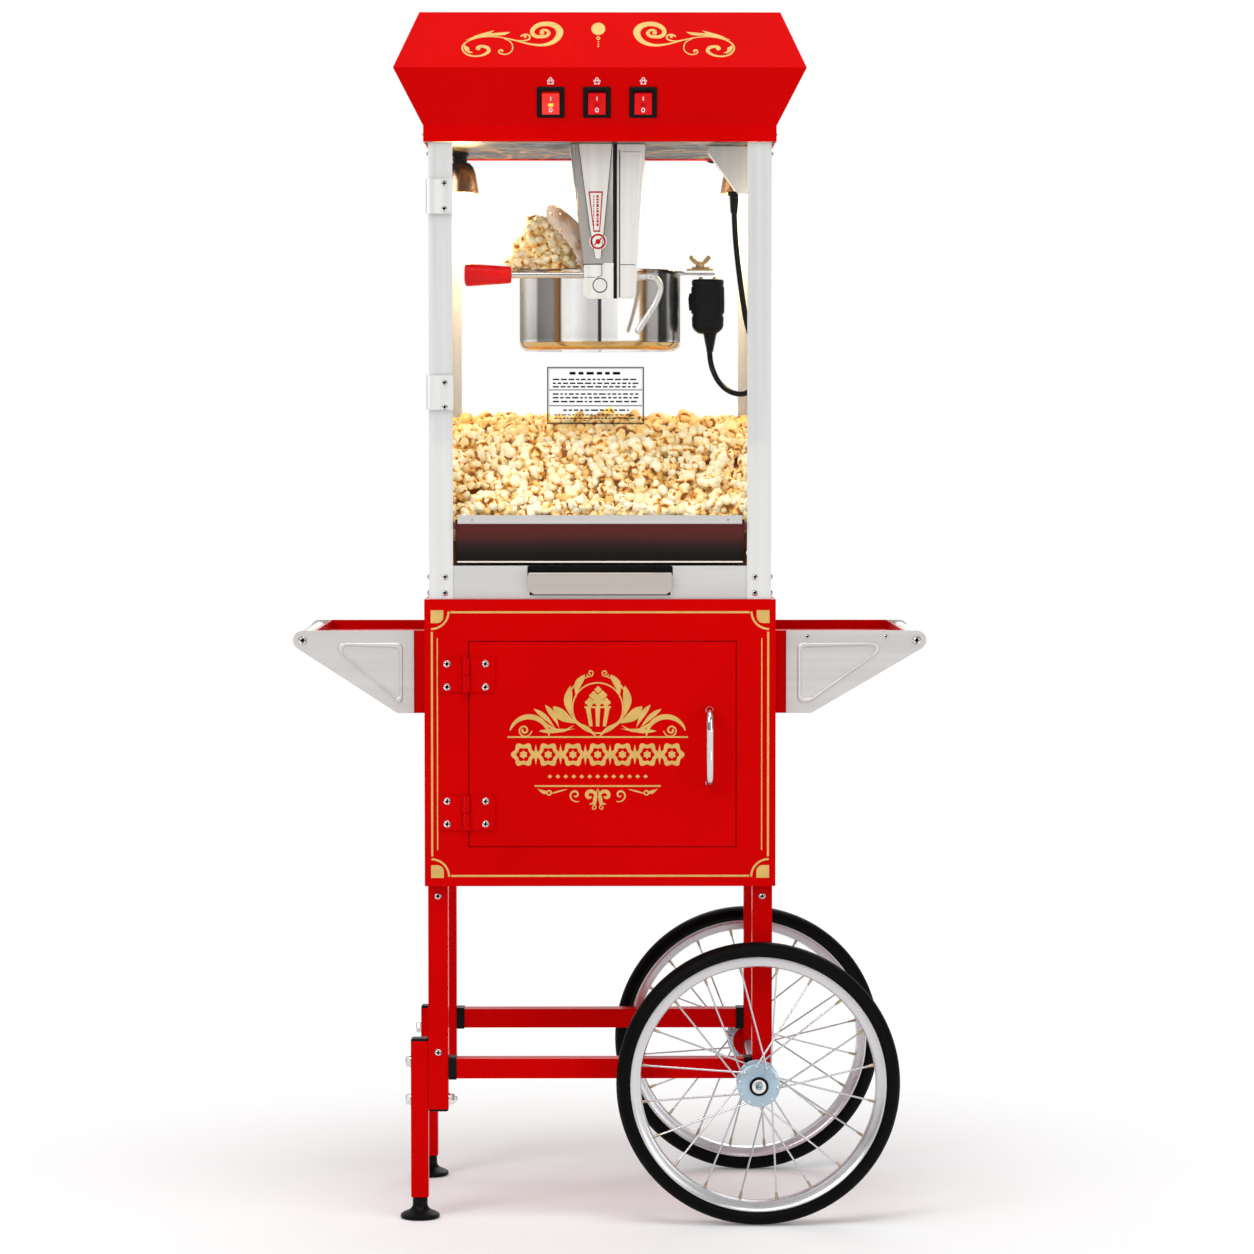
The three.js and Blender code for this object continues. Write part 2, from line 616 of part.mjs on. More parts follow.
// The fixed half of the lid, with the wing nuts that clamp the heater's socket.
function kettleLid() {
  const z = POT.rim + GAP;
  const disc = new THREE.ExtrudeGeometry(halfDisc(1, LID.hingeX + 3, LID.radius), {
    depth: LID.thick, bevelEnabled: false, curveSegments: 24,
  }).translate(0, 0, z).rotateZ(LID.turn);
  return cut(
    join(disc, box(90, 146, -11, 11, z, z + LID.thick), box(118, 142, -9, 9, z + 1, z + 14)),
    rod("z", z - 1, z + 4, SHAFT.radius + 1, [0, 0]),
    box(-20, 0, -SHAFT.radius - 1, SHAFT.radius + 1, z - 1, z + 4).rotateZ(LID.turn),
  );
}

// The loose half of the lid, flat, with its hinge line through the origin.
function lidFlap() {
  const shape = halfDisc(-1, LID.hingeX - 4, LID.radius);
  const settings = { depth: LID.thick, bevelEnabled: false, curveSegments: 24 };
  return new THREE.ExtrudeGeometry(shape, settings).translate(-LID.hingeX, 0, 0);
}

function kettleRod() {
  const { y, z, radius, left } = KETTLE_ROD;
  return rod("x", left, -TRUNNION.halfW + 6 - GAP, radius, [y, z], 12);
}

// The grip, lying along X with its big end to the left.
function handleGrip() {
  const { length, bigEnd, smallEnd } = GRIP;
  const profile = [
    [0, 0], [bigEnd - 3, 0], [bigEnd, 4], [smallEnd, length - 3], [smallEnd - 2, length], [0, length],
  ];
  const { y, z, left } = KETTLE_ROD;
  return turned(profile, 20).rotateY(Math.PI / 2).translate(left - GAP - length, y, z);
}

// The hooked lever that locks the kettle in its hanger, bent from one rod.
function kettleLatch() {
  const y = KETTLE_ROD.y - 0.8;
  return bentRod([
    [46, y, 1188], [61, y, 1189], [71, y, 1186], [76, y, 1177], [72, y, 1161], [60, y, 1140], [47, y, 1120],
  ], 4.2, 8, 20);
}

// The agitator turns on the kettle's middle: a shaft and two low blades.
function agitator() {
  const floor = POT.bottom + 6 + GAP * 3;
  return join(
    rod("z", floor, SHAFT.top, SHAFT.radius, [0, 0], 12),
    box(-84, 84, -1.5, 1.5, floor + 1, floor + 9),
    rod("z", floor, floor + 18, 7, [0, 0], 12),
  );
}

function kettlePlug() {
  const { x, halfW, halfD, bottom, top } = PLUG;
  const outline = [];
  const sides = 24;
  for (let i = 0; i < sides; i++) {
    const turn = (2 * Math.PI * i) / sides;
    const round = (v) => Math.sign(v) * Math.sqrt(Math.abs(v));
    outline.push([x + halfW * round(Math.cos(turn)), halfD * round(Math.sin(turn))]);
  }
  const depth = top - bottom;
  return new THREE.ExtrudeGeometry(shapeOf(outline), { depth, bevelEnabled: false }).translate(0, 0, bottom);
}

// The lead hangs from its outlet box in one loop and comes up into the plug.
const LEAD_ROUTE = [
  [171, -60, 1294.7], [171, -60, 1281], [171.5, -60, 1262], [173.5, -60, 1232], [177, -60, 1200],
  [181.5, -60.5, 1166], [187, -61, 1134], [194.5, -61.5, 1107], [200.3, -62, 1089], [203, -62, 1074],
  [201.3, -60.3, 1061.8], [196.4, -55.3, 1051.4], [189.1, -48, 1044.4], [180.5, -39.3, 1042],
  [165.6, -24.2, 1046.2], [153, -11.5, 1058.2], [144.6, -3, 1076.1], [141.8, -0.2, 1091.5],
  [141.6, 0, 1108], [141.6, 0, 1119.7],
];
const kettleLead = () => bentRod(LEAD_ROUTE, LEAD_DIAMETER / 2, 8, 48);

// ---------------------------------------------------------------- the tree

const popcornMaker = new THREE.Group();
const cart = new THREE.Group();
const popper = new THREE.Group();
const kettle = new THREE.Group();
popcornMaker.add(cart, popper);
popper.add(kettle);

place(cart, "cart_cabinet", cartCabinet(), RED);
place(cart, "cart_door", cartDoor(), RED);
place(cart, "cart_hinge_upper", cupboardHinge(CUPBOARD_HINGE.upper), RED);
place(cart, "cart_hinge_lower", cupboardHinge(CUPBOARD_HINGE.lower), RED);
place(cart, "cart_door_pull", doorPull(), CHROME);

for (const [word, tray] of [["left", LEFT_TRAY], ["right", RIGHT_TRAY]]) {
  const outer = TRAY.halfD + GAP;
  place(cart, `${word}_tray`, sideTray(tray), RED);
  place(cart, `${word}_tray_front_bracket`, trayBracket(tray, -outer - 2, -outer - GAP), BRUSHED);
  place(cart, `${word}_tray_back_bracket`, trayBracket(tray, outer + GAP, outer + 2), BRUSHED);
  place(cart, `${word}_tray_handle_bar`, trayBar(tray), BRUSHED);
}

for (const [word, y] of [["front", -1], ["back", 1]]) {
  place(cart, `${word}_left_leg`, leftLeg(y * LEG.y), RED);
  place(cart, `${word}_right_leg`, rightLeg(y * LEG.y), RED);
  place(cart, `${word}_rail`, rail(y * LEG.y), RED);
  place(cart, `${word}_leg_extension`, extension(y * LEG.y), RED);
  place(cart, `${word}_foot`, foot(), BLACK).position.set(extensionX, y * LEG.y, 0);
  const wheel = new THREE.Group();
  wheel.position.set(WHEEL.x, y * WHEEL.y, WHEEL.radius);
  wheel.rotation.x = Math.PI / 2;
  cart.add(wheel);
  place(wheel, `${word}_tyre`, tyre(), RUBBER);
  place(wheel, `${word}_spoked_wheel`, spokedWheel(), ZINC);
}
place(cart, "axle", axle(), ZINC);

for (const [word, i, j] of [["front_left", -1, -1], ["front_right", 1, -1], ["back_left", -1, 1], ["back_right", 1, 1]]) {
  place(popper, `${word}_post`, post(i, j), BRUSHED);
}
place(popper, "base_frame", baseFrame(), BRUSHED);
place(popper, "kernel_drawer", kernelDrawer(), BRUSHED);
place(popper, "serving_flap", servingFlap(), TINTED);
place(popper, "left_window", sideWindow(-1), CLEAR);
place(popper, "right_window", sideWindow(1), CLEAR);
place(popper, "back_window", backWindow(), CLEAR);
place(popper, "glass_door", glassDoor(), CLEAR);
place(popper, "glass_door_hinge_upper", glassDoorHinge(GLASS_HINGE.upper), BRUSHED);
place(popper, "glass_door_hinge_lower", glassDoorHinge(GLASS_HINGE.lower), BRUSHED);
place(popper, "canopy", canopy(), RED);
place(popper, "ceiling_plate", ceilingPlate(), POLISHED);
place(popper, "agitator_motor", agitatorMotor(), BLACK);
place(popper, "left_lamp", lamp(), BRUSHED).position.set(-LAMP.x, LAMP.y, 0);
place(popper, "right_lamp", lamp(), BRUSHED).position.set(LAMP.x, LAMP.y, 0);
place(popper, "lead_outlet_box", leadOutletBox(), BRUSHED);
place(popper, "kettle_hanger", kettleHanger(), BRUSHED);
place(popper, "kettle_lead", kettleLead(), BLACK);

for (const [i, word] of ["heat", "motor", "lamp"].entries()) {
  const turned = place(popper, `${word}_switch_rocker`, rocker(), RED_PLASTIC);
  turned.position.set(switchX[i], switchY, SWITCH.z);
  turned.rotation.x = switchSlope + THREE.MathUtils.degToRad(SWITCH.rest);
}

place(kettle, "kettle_pot", kettlePot(), POLISHED);
place(kettle, "kettle_lid", kettleLid(), POLISHED);
const lidTurn = new THREE.Group();
lidTurn.rotation.z = LID.turn;
kettle.add(lidTurn);
const flap = place(lidTurn, "kettle_lid_flap", lidFlap(), POLISHED);
flap.position.set(LID.hingeX, 0, POT.rim + 4);
flap.rotation.y = THREE.MathUtils.degToRad(LID.open);
place(kettle, "kettle_handle_rod", kettleRod(), POLISHED);
place(kettle, "kettle_handle_grip", handleGrip(), RED_PLASTIC);
place(kettle, "kettle_latch", kettleLatch(), POLISHED);
place(kettle, "agitator", agitator(), POLISHED);
place(kettle, "kettle_plug", kettlePlug(), BLACK);

// The frame's origin is below the middle of the whole cart, whose right tray is the longer one.
popcornMaker.position.x = (LEFT_TRAY.reach - RIGHT_TRAY.reach) / 2;

export default popcornMaker;
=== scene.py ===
import math
import random

import bmesh
import bpy
import numpy as np
from mathutils import Matrix, Vector, noise


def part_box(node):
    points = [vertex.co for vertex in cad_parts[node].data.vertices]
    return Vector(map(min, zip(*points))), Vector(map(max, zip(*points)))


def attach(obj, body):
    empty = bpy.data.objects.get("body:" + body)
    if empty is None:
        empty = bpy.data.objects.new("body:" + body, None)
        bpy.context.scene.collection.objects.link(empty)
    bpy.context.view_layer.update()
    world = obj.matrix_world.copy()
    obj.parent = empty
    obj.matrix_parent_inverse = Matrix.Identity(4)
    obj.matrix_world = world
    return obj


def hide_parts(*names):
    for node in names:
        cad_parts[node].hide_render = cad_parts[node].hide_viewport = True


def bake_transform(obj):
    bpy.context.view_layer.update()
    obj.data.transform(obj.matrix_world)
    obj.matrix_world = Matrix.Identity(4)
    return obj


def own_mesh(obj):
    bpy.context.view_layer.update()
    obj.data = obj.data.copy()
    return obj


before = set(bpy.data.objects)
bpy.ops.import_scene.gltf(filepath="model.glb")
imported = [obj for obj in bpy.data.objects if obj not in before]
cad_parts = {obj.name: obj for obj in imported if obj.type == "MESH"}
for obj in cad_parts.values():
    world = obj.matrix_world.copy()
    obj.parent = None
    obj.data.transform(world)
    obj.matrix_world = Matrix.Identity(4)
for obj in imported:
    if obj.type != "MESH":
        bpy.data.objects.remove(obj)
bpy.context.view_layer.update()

# A popcorn maker on a cart. Metres, +Z up, with the serving side towards -Y and the wheels at +X.
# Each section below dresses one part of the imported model, and every piece rides on its body.

MM = 0.001
SUNK, PRINT = -0.0001, 0.0003  # how far a print reaches into its face, and out of it
PRINT_STEP, PRINT_LEVELS = 0.000012, 16
SHARP_ANGLE = math.radians(38)
LEG_Y = 152.5  # the middles of the front and back legs, in millimetres either way
AXLE_X, AXLE_Z, WHEEL_Y = 198, 178, 200
TRUNNION_Z = 1178
CEILING = 1355.5
X_AXIS, Y_AXIS, Z_AXIS = Vector((1, 0, 0)), Vector((0, 1, 0)), Vector((0, 0, 1))
CABINET_LOW, CABINET_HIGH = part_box("cart_cabinet")
MIDDLE = (CABINET_LOW.x + CABINET_HIGH.x) / 2
FACE = CABINET_LOW.y


def at(x, y, z):
    """A place given in millimetres from the middle of the cabinet, on the floor."""
    return Vector((MIDDLE + x * MM, y * MM, z * MM))


# ---------------------------------------------------------------- camera

CAMERA_HEIGHT = 0.987
CAMERA_DISTANCE = 5.2
FRAME_WIDTH = 1.5675  # how much of the cabinet's front plane the picture spans
SENSOR = 36.0
AIM_RIGHT, AIM_DOWN = 0.0215, 0.1515  # where the picture's middle lies, in frame widths from straight ahead


def make_camera():
    data = bpy.data.cameras.new("camera")
    data.sensor_width = SENSOR
    data.lens = SENSOR * CAMERA_DISTANCE / FRAME_WIDTH
    camera = bpy.data.objects.new("camera", data)
    camera.location = (MIDDLE, FACE - CAMERA_DISTANCE, CAMERA_HEIGHT)
    turn = math.atan(AIM_RIGHT * FRAME_WIDTH / CAMERA_DISTANCE)
    dip = math.atan(AIM_DOWN * FRAME_WIDTH / CAMERA_DISTANCE)
    camera.rotation_euler = (math.pi / 2 - dip, 0, -turn)
    bpy.context.scene.collection.objects.link(camera)
    bpy.context.scene.camera = camera


make_camera()

# ---------------------------------------------------------------- materials


class Look:
    """A principled material whose variation, roughness and relief come from procedural nodes."""

    def __init__(self, name, color, rough, metal=0.0, **sockets):
        self.material = bpy.data.materials.new(name)
        self.material.use_nodes = True
        self.tree = self.material.node_tree
        self.shader = self.tree.nodes["Principled BSDF"]
        self.color = color
        self.rough = rough
        self.shader.inputs["Base Color"].default_value = (*color, 1)
        self.shader.inputs["Roughness"].default_value = rough
        self.shader.inputs["Metallic"].default_value = metal
        for socket, value in sockets.items():
            self.shader.inputs[socket.replace("_", " ")].default_value = value
        self.place = self.tree.nodes.new("ShaderNodeTexCoord")
        self.normal = None

    def node(self, kind, **settings):
        made = self.tree.nodes.new("ShaderNode" + kind)
        for key, value in settings.items():
            setattr(made, key, value)
        return made

    def link(self, source, target):
        self.tree.links.new(source, target)

    def grain(self, scale, stretch=(1, 1, 1), detail=3.0, roughness=0.5):
        """A noise value whose cells are 1/scale metres, drawn out along the axes where stretch is small."""
        mapping = self.node("Mapping")
        mapping.inputs["Scale"].default_value = stretch
        self.link(self.place.outputs["Object"], mapping.inputs["Vector"])
        texture = self.node("TexNoise")
        texture.inputs["Scale"].default_value = scale
        texture.inputs["Detail"].default_value = detail
        texture.inputs["Roughness"].default_value = roughness
        self.link(mapping.outputs["Vector"], texture.inputs["Vector"])
        return texture.outputs["Fac"]

    def cells(self, scale):
        texture = self.node("TexVoronoi")
        texture.inputs["Scale"].default_value = scale
        self.link(self.place.outputs["Object"], texture.inputs["Vector"])
        return texture.outputs["Distance"]

    def attribute(self, name):
        return self.node("Attribute", attribute_name=name).outputs["Fac"]

    def tint(self, fac, *stops):
        """The colour runs through stops of (position, colour) as fac goes from 0 to 1."""
        ramp = self.node("ValToRGB")
        elements = ramp.color_ramp.elements
        while len(elements) < len(stops):
            elements.new(0.5)
        for element, (position, color) in zip(elements, stops):
            element.position = position
            element.color = (*color, 1)
        self.link(fac, ramp.inputs["Fac"])
        self.link(ramp.outputs["Color"], self.shader.inputs["Base Color"])
        return self

    def shade(self, fac, amount):
        """The base colour gets darker and lighter by amount."""
        dark = tuple(c * (1 - amount) for c in self.color)
        light = tuple(min(1, c * (1 + amount)) for c in self.color)
        return self.tint(fac, (0.3, dark), (0.7, light))

    def map(self, fac, low, high, start=0.3, end=0.7):
        mapped = self.node("MapRange")
        mapped.inputs["From Min"].default_value = start
        mapped.inputs["From Max"].default_value = end
        mapped.inputs["To Min"].default_value = low
        mapped.inputs["To Max"].default_value = high
        self.link(fac, mapped.inputs["Value"])
        return mapped.outputs["Result"]

    def polish(self, fac, spread):
        low, high = max(0.02, self.rough - spread), self.rough + spread
        self.link(self.map(fac, low, high), self.shader.inputs["Roughness"])
        return self

    def relief(self, fac, height, strength=1.0):
        """Bumps of that height, in metres, on top of those already there."""
        bump = self.node("Bump")
        bump.inputs["Strength"].default_value = strength
        bump.inputs["Distance"].default_value = height
        self.link(fac, bump.inputs["Height"])
        if self.normal:
            self.link(self.normal, bump.inputs["Normal"])
        self.normal = bump.outputs["Normal"]
        self.link(self.normal, self.shader.inputs["Normal"])
        return self


def powder_coat(name, color):
    """Gloss powder coat: a faint orange peel, a little unevenness and a few duller patches."""
    look = Look(name, color, 0.30, Specular_IOR_Level=0.24, Specular_Tint=(1.0, 0.03, 0.03, 1))
    look.shade(look.grain(7, detail=4), 0.05)
    look.polish(look.grain(16, detail=5), 0.07)
    look.relief(look.grain(420, detail=1), 0.00006, 0.35)
    return look.relief(look.grain(28, detail=2), 0.0004, 0.08).material


def brushed_metal(name, color, along, rough=0.36):
    """Sheet with fine lines drawn along one axis."""
    stretch = tuple(0.012 if i == along else 1.0 for i in range(3))
    look = Look(name, color, rough, 0.55, Specular_IOR_Level=0.4)
    lines = look.grain(900, stretch, 2)
    look.shade(look.grain(120, stretch, 4), 0.05)
    look.polish(look.grain(60, stretch, 5), 0.07)
    look.relief(lines, 0.00004, 0.30)
    return look.relief(look.grain(9, detail=2), 0.0006, 0.10).material


def polished_metal(name, color, rough=0.1, waves=0.2):
    """Spun or polished sheet: soft waves in its reflections and faint marks from handling."""
    look = Look(name, color, rough, 1.0)
    look.shade(look.grain(10, detail=3), 0.06)
    look.polish(look.grain(45, detail=6), 0.05)
    look.relief(look.grain(700, (1, 1, 0.02), 2), 0.00002, 0.2)
    return look.relief(look.grain(11, detail=1), 0.0007, waves).material


def moulded(name, color, rough, fine=0.00007, gloss=0.4):
    """Moulded plastic or rubber with a fine eroded texture."""
    look = Look(name, color, rough, Specular_IOR_Level=gloss)
    look.shade(look.grain(30, detail=4), 0.10)
    look.polish(look.grain(70, detail=5), 0.06)
    return look.relief(look.grain(1500, detail=2), fine, 0.4).material


def see_through(name, color, clear, edge, rough=0.03):
    """A clear sheet: nearly invisible when seen square on, and shinier towards grazing angles."""
    look = Look(name, color, rough, Specular_IOR_Level=0.4)
    facing = look.node("LayerWeight")
    facing.inputs["Blend"].default_value = 0.35
    look.link(look.map(facing.outputs["Facing"], clear, edge, 0.0, 1.0), look.shader.inputs["Alpha"])
    look.polish(look.grain(14, detail=4), 0.02)
    look.relief(look.grain(5, detail=1), 0.0008, 0.05)
    return look.material


def glowing(name, color, strength):
    look = Look(name, color, 0.35)
    look.shader.inputs["Emission Color"].default_value = (*color, 1)
    look.shader.inputs["Emission Strength"].default_value = strength
    look.shade(look.grain(200), 0.08)
    return look.material


def enamel_with_painted_lamp_reflections(name):
    """Dark enamelled sheet with long golden and pale streaks painted in as reflections of the lamps."""
    look = Look(name, (0.08, 0.05, 0.02), 0.35, Specular_IOR_Level=0.05)
    # Painted reflections: golden and pale streaks of the lamps' light in the base colour.
    look.tint(look.grain(11, (1, 0.5, 1), 2, 0.4),
              (0.38, (0.010, 0.008, 0.006)), (0.46, (0.03, 0.018, 0.008)), (0.50, (0.24, 0.14, 0.04)),
              (0.53, (0.012, 0.009, 0.006)), (0.58, (0.10, 0.07, 0.035)), (0.62, (0.015, 0.011, 0.008)))
    look.polish(look.grain(40, detail=4), 0.1)
    return look.relief(look.grain(30, (1, 0.2, 1), 3), 0.0006, 0.3).material


def tinted_sheet_painted_shade(name):
    """Tinted sheet, painted deep red where it leans out at its top and nearly black towards its foot, as painted
    light and shade along its curve.
    """
    look = Look(name, (0.07, 0.01, 0.008), 0.12, Specular_IOR_Level=0.08)
    # Painted shade: by rise, the colour goes from near black at the foot to deep red near the top.
    look.tint(look.attribute("rise"), (0.0, (0.006, 0.005, 0.005)), (0.22, (0.010, 0.008, 0.007)),
              (0.42, (0.030, 0.014, 0.012)), (0.62, (0.085, 0.020, 0.018)), (0.92, (0.125, 0.022, 0.020)),
              (1.0, (0.050, 0.008, 0.008)))
    look.shader.inputs["Alpha"].default_value = 0.985
    look.polish(look.grain(14, detail=4), 0.03)
    return look.relief(look.grain(5, detail=1), 0.0008, 0.05).material


def painted_reflection_pot_steel(name):
    """Polished pot steel whose drawn wall carries painted reflections in upright bands, light, dark and brown
    across its width.
    """
    look = Look(name, (0.6, 0.57, 0.54), 0.19, 1.0)
    look.tint(look.attribute("across"), *POT_REFLECTION_BANDS)
    look.polish(look.grain(45, detail=6), 0.04)
    return look.relief(look.grain(11, (1, 1, 0.1), 1), 0.0005, 0.15).material


def gold_ink(name):
    """Printed gold, a little uneven."""
    look = Look(name, (0.62, 0.39, 0.10), 0.45, 0.15)
    return look.shade(look.grain(60, detail=4), 0.10).polish(look.grain(90), 0.08).material


def popcorn_shadow(name):
    """The deep brown that shows between the kernels."""
    look = Look(name, (0.34, 0.12, 0.02), 0.8, Specular_IOR_Level=0.05)
    return look.shade(look.grain(120, detail=4), 0.3).relief(look.grain(150), 0.004, 0.6).material


def popcorn_flesh(name):
    """Cream lobes that turn brown at the hull, with painted golden shade in their creases, a faint painted warm
    glow and a lightly blistered skin.
    """
    look = Look(name, (0.9, 0.75, 0.45), 0.6, Specular_IOR_Level=0.2)
    # The hull attribute holds the real brown hull together with the painted shade of creases and lower layers.
    mixed = look.node("Math", operation="MULTIPLY_ADD")
    mixed.inputs[1].default_value = 0.34
    look.link(look.grain(110, detail=4), mixed.inputs[0])
    look.link(look.attribute("hull"), mixed.inputs[2])
    look.tint(mixed.outputs["Value"], (0.22, (1.0, 0.94, 0.72)), (0.36, (0.98, 0.80, 0.40)),
              (0.55, (0.90, 0.50, 0.10)), (0.74, (0.50, 0.15, 0.02)), (1.0, (0.18, 0.04, 0.006)))
    # Painted light: a faint warm glow lifts the popcorn's shaded parts.
    look.shader.inputs["Emission Color"].default_value = (1.0, 0.70, 0.28, 1)
    look.shader.inputs["Emission Strength"].default_value = 0.07
    look.relief(look.grain(420, detail=4), 0.0008, 0.45)
    return look.relief(look.cells(260), 0.0006, 0.3).material


# Painted reflections: light, dark and brown upright bands across the pot's width, in place of what its polished
# wall would reflect.
POT_REFLECTION_BANDS = [(0.00, (0.10, 0.09, 0.08)), (0.03, (0.45, 0.42, 0.40)), (0.055, (0.72, 0.70, 0.68)),
             (0.105, (0.60, 0.57, 0.55)), (0.12, (0.20, 0.185, 0.18)), (0.20, (0.25, 0.235, 0.23)),
             (0.228, (0.30, 0.22, 0.14)), (0.24, (0.42, 0.22, 0.07)), (0.255, (0.12, 0.07, 0.04)),
             (0.268, (0.86, 0.86, 0.86)), (0.34, (0.92, 0.92, 0.92)), (0.43, (0.60, 0.58, 0.56)),
             (0.484, (0.58, 0.56, 0.55)), (0.490, (0.03, 0.03, 0.03)), (0.506, (0.03, 0.03, 0.03)),
             (0.512, (0.78, 0.77, 0.76)), (0.62, (0.84, 0.82, 0.79)), (0.735, (0.66, 0.63, 0.60)),
             (0.762, (0.50, 0.29, 0.11)), (0.775, (0.14, 0.10, 0.07)), (0.80, (0.38, 0.35, 0.33)),
             (0.85, (0.46, 0.43, 0.41)), (0.864, (0.035, 0.035, 0.035)), (0.905, (0.03, 0.03, 0.03)),
             (0.918, (0.28, 0.26, 0.25)), (0.95, (0.76, 0.74, 0.72)), (0.972, (0.36, 0.34, 0.32)),
             (1.00, (0.08, 0.07, 0.06))]

RED = powder_coat("red_powder_coat", (0.53, 0.0008, 0.0010))
ALUMINIUM_UP = brushed_metal("aluminium_brushed_up", (0.80, 0.80, 0.79), 2)
ALUMINIUM_ACROSS = brushed_metal("aluminium_brushed_across", (0.66, 0.65, 0.63), 0)
ALUMINIUM_BRACKET = brushed_metal("bracket_satin", (0.62, 0.60, 0.585), 0, 0.42)
POT_STEEL = painted_reflection_pot_steel("pot_steel_painted_reflections")
STEEL = polished_metal("polished_steel", (0.62, 0.585, 0.545), 0.09, 0.12)
BRIGHT_STEEL = polished_metal("bright_screw_steel", (0.80, 0.79, 0.78), 0.18, 0.1)
CHROME = polished_metal("chrome", (0.66, 0.66, 0.68), 0.06, 0.05)
CEILING_STEEL = enamel_with_painted_lamp_reflections("ceiling_enamel_painted_reflections")
COPPER = polished_metal("copper_shade", (0.55, 0.34, 0.22), 0.28, 0.2)
# Lit and shaded copies of the hanger's satin metal: the face copy is painted lighter and the side copy darker, as
# painted light and shade.
HANGER_FACE_PAINTED_LIGHT = brushed_metal("hanger_satin_painted_light", (0.92, 0.90, 0.87), 2, 0.34)
HANGER_FLANK_PAINTED_SHADE = brushed_metal("hanger_flank_painted_shade", (0.40, 0.38, 0.36), 2, 0.30)
# A steel colour used as painted shade on the drawer's upturned aluminium lip, and as a painted highlight on the
# tinted rail at the flap's foot.
SHADE_AND_HIGHLIGHT_STEEL = brushed_metal("steel_painted_shade_and_highlight", (0.50, 0.45, 0.41), 0, 0.34)
ZINC = brushed_metal("zinc_plate", (0.42, 0.55, 0.64), 1, 0.3)
RIM_METAL = polished_metal("rim_aluminium", (0.64, 0.635, 0.65), 0.30, 0.02)
SPOKE_METAL = polished_metal("spoke_steel", (0.62, 0.62, 0.64), 0.22, 0.05)
BRASS = polished_metal("brass", (0.62, 0.46, 0.22), 0.25, 0.1)
BRASS_SHEET = polished_metal("brass_hoop", (0.66, 0.42, 0.16), 0.16, 0.1)
LATCH_STEEL = brushed_metal("latch_satin", (0.62, 0.61, 0.60), 2, 0.28)
LID_STEEL = polished_metal("lid_steel_toasted", (0.46, 0.31, 0.19), 0.30, 0.05)
NIPPLE_METAL = polished_metal("nipple_metal", (0.46, 0.38, 0.28), 0.25, 0.1)
BLACK = moulded("black_plastic", (0.003, 0.003, 0.003), 0.36, 0.00005, 0.10)
SHEATH = moulded("lead_sheath", (0.003, 0.003, 0.003), 0.33, 0.00003, 0.10)
TYRE_RUBBER = moulded("tyre_rubber", (0.002, 0.002, 0.002), 0.5, 0.00012, 0.06)
RED_PLASTIC = moulded("red_plastic", (0.72, 0.004, 0.006), 0.28, 0.00003, 0.10)
WINDOW = see_through("window_sheet", (0.80, 0.88, 0.90), 0.003, 0.40)
TINTED = tinted_sheet_painted_shade("tinted_sheet_painted_shade")
GOLD = gold_ink("gold_print")
WHITE_PRINT = moulded("white_print", (0.85, 0.85, 0.85), 0.5, 0.00001, 0.1)
BLACK_PRINT = moulded("black_print", (0.002, 0.002, 0.003), 0.5, 0.00001, 0.0)
RED_PRINT = moulded("red_print", (0.42, 0.006, 0.008), 0.5, 0.00001, 0.05)
LIT_RED = glowing("lit_rocker", (0.80, 0.012, 0.004), 0.22)
LIT_AMBER = glowing("lit_window", (1.0, 0.30, 0.04), 1.6)
BULB = glowing("bulb_glow", (1.0, 0.80, 0.45), 9.0)
POPCORN = popcorn_flesh("popcorn_flesh")
POPCORN_CORE = popcorn_shadow("popcorn_shadow")

# ---------------------------------------------------------------- shapes


class Plane:
    """A flat face to lay things on: u runs along it, v up it and h out of it."""

    def __init__(self, origin, u, v):
        self.origin, self.u, self.v = origin, u.normalized(), v.normalized()
        self.n = self.u.cross(self.v)

    def at(self, u, v, h=0.0):
        return self.origin + u * self.u + v * self.v + h * self.n


def across(axis):
    """Two directions square to an axis and to each other."""
    side = axis.cross(Z_AXIS if abs(axis.z) < 0.9 else X_AXIS).normalized()
    return side, axis.cross(side).normalized()


def through(points, per_span=6):
    """A smooth line through points, as a centripetal Catmull-Rom curve."""
    points = [Vector(p) for p in points]
    ends = [2 * points[0] - points[1], *points, 2 * points[-1] - points[-2]]
    line = []
    for a, b, c, d in zip(ends, ends[1:], ends[2:], ends[3:]):
        t1 = (b - a).length ** 0.5
        t2 = t1 + (c - b).length ** 0.5
        t3 = t2 + (d - c).length ** 0.5
        for i in range(per_span):
            t = t1 + (t2 - t1) * i / per_span
            ab = a.lerp(b, t / t1)
            bc = b.lerp(c, (t - t1) / (t2 - t1))
            cd = c.lerp(d, (t - t2) / (t3 - t2))
            abc = ab.lerp(bc, t / t2)
            bcd = bc.lerp(cd, (t - t1) / (t3 - t1))
            line.append(abc.lerp(bcd, (t - t1) / (t2 - t1)))
    return [*line, points[-1]]


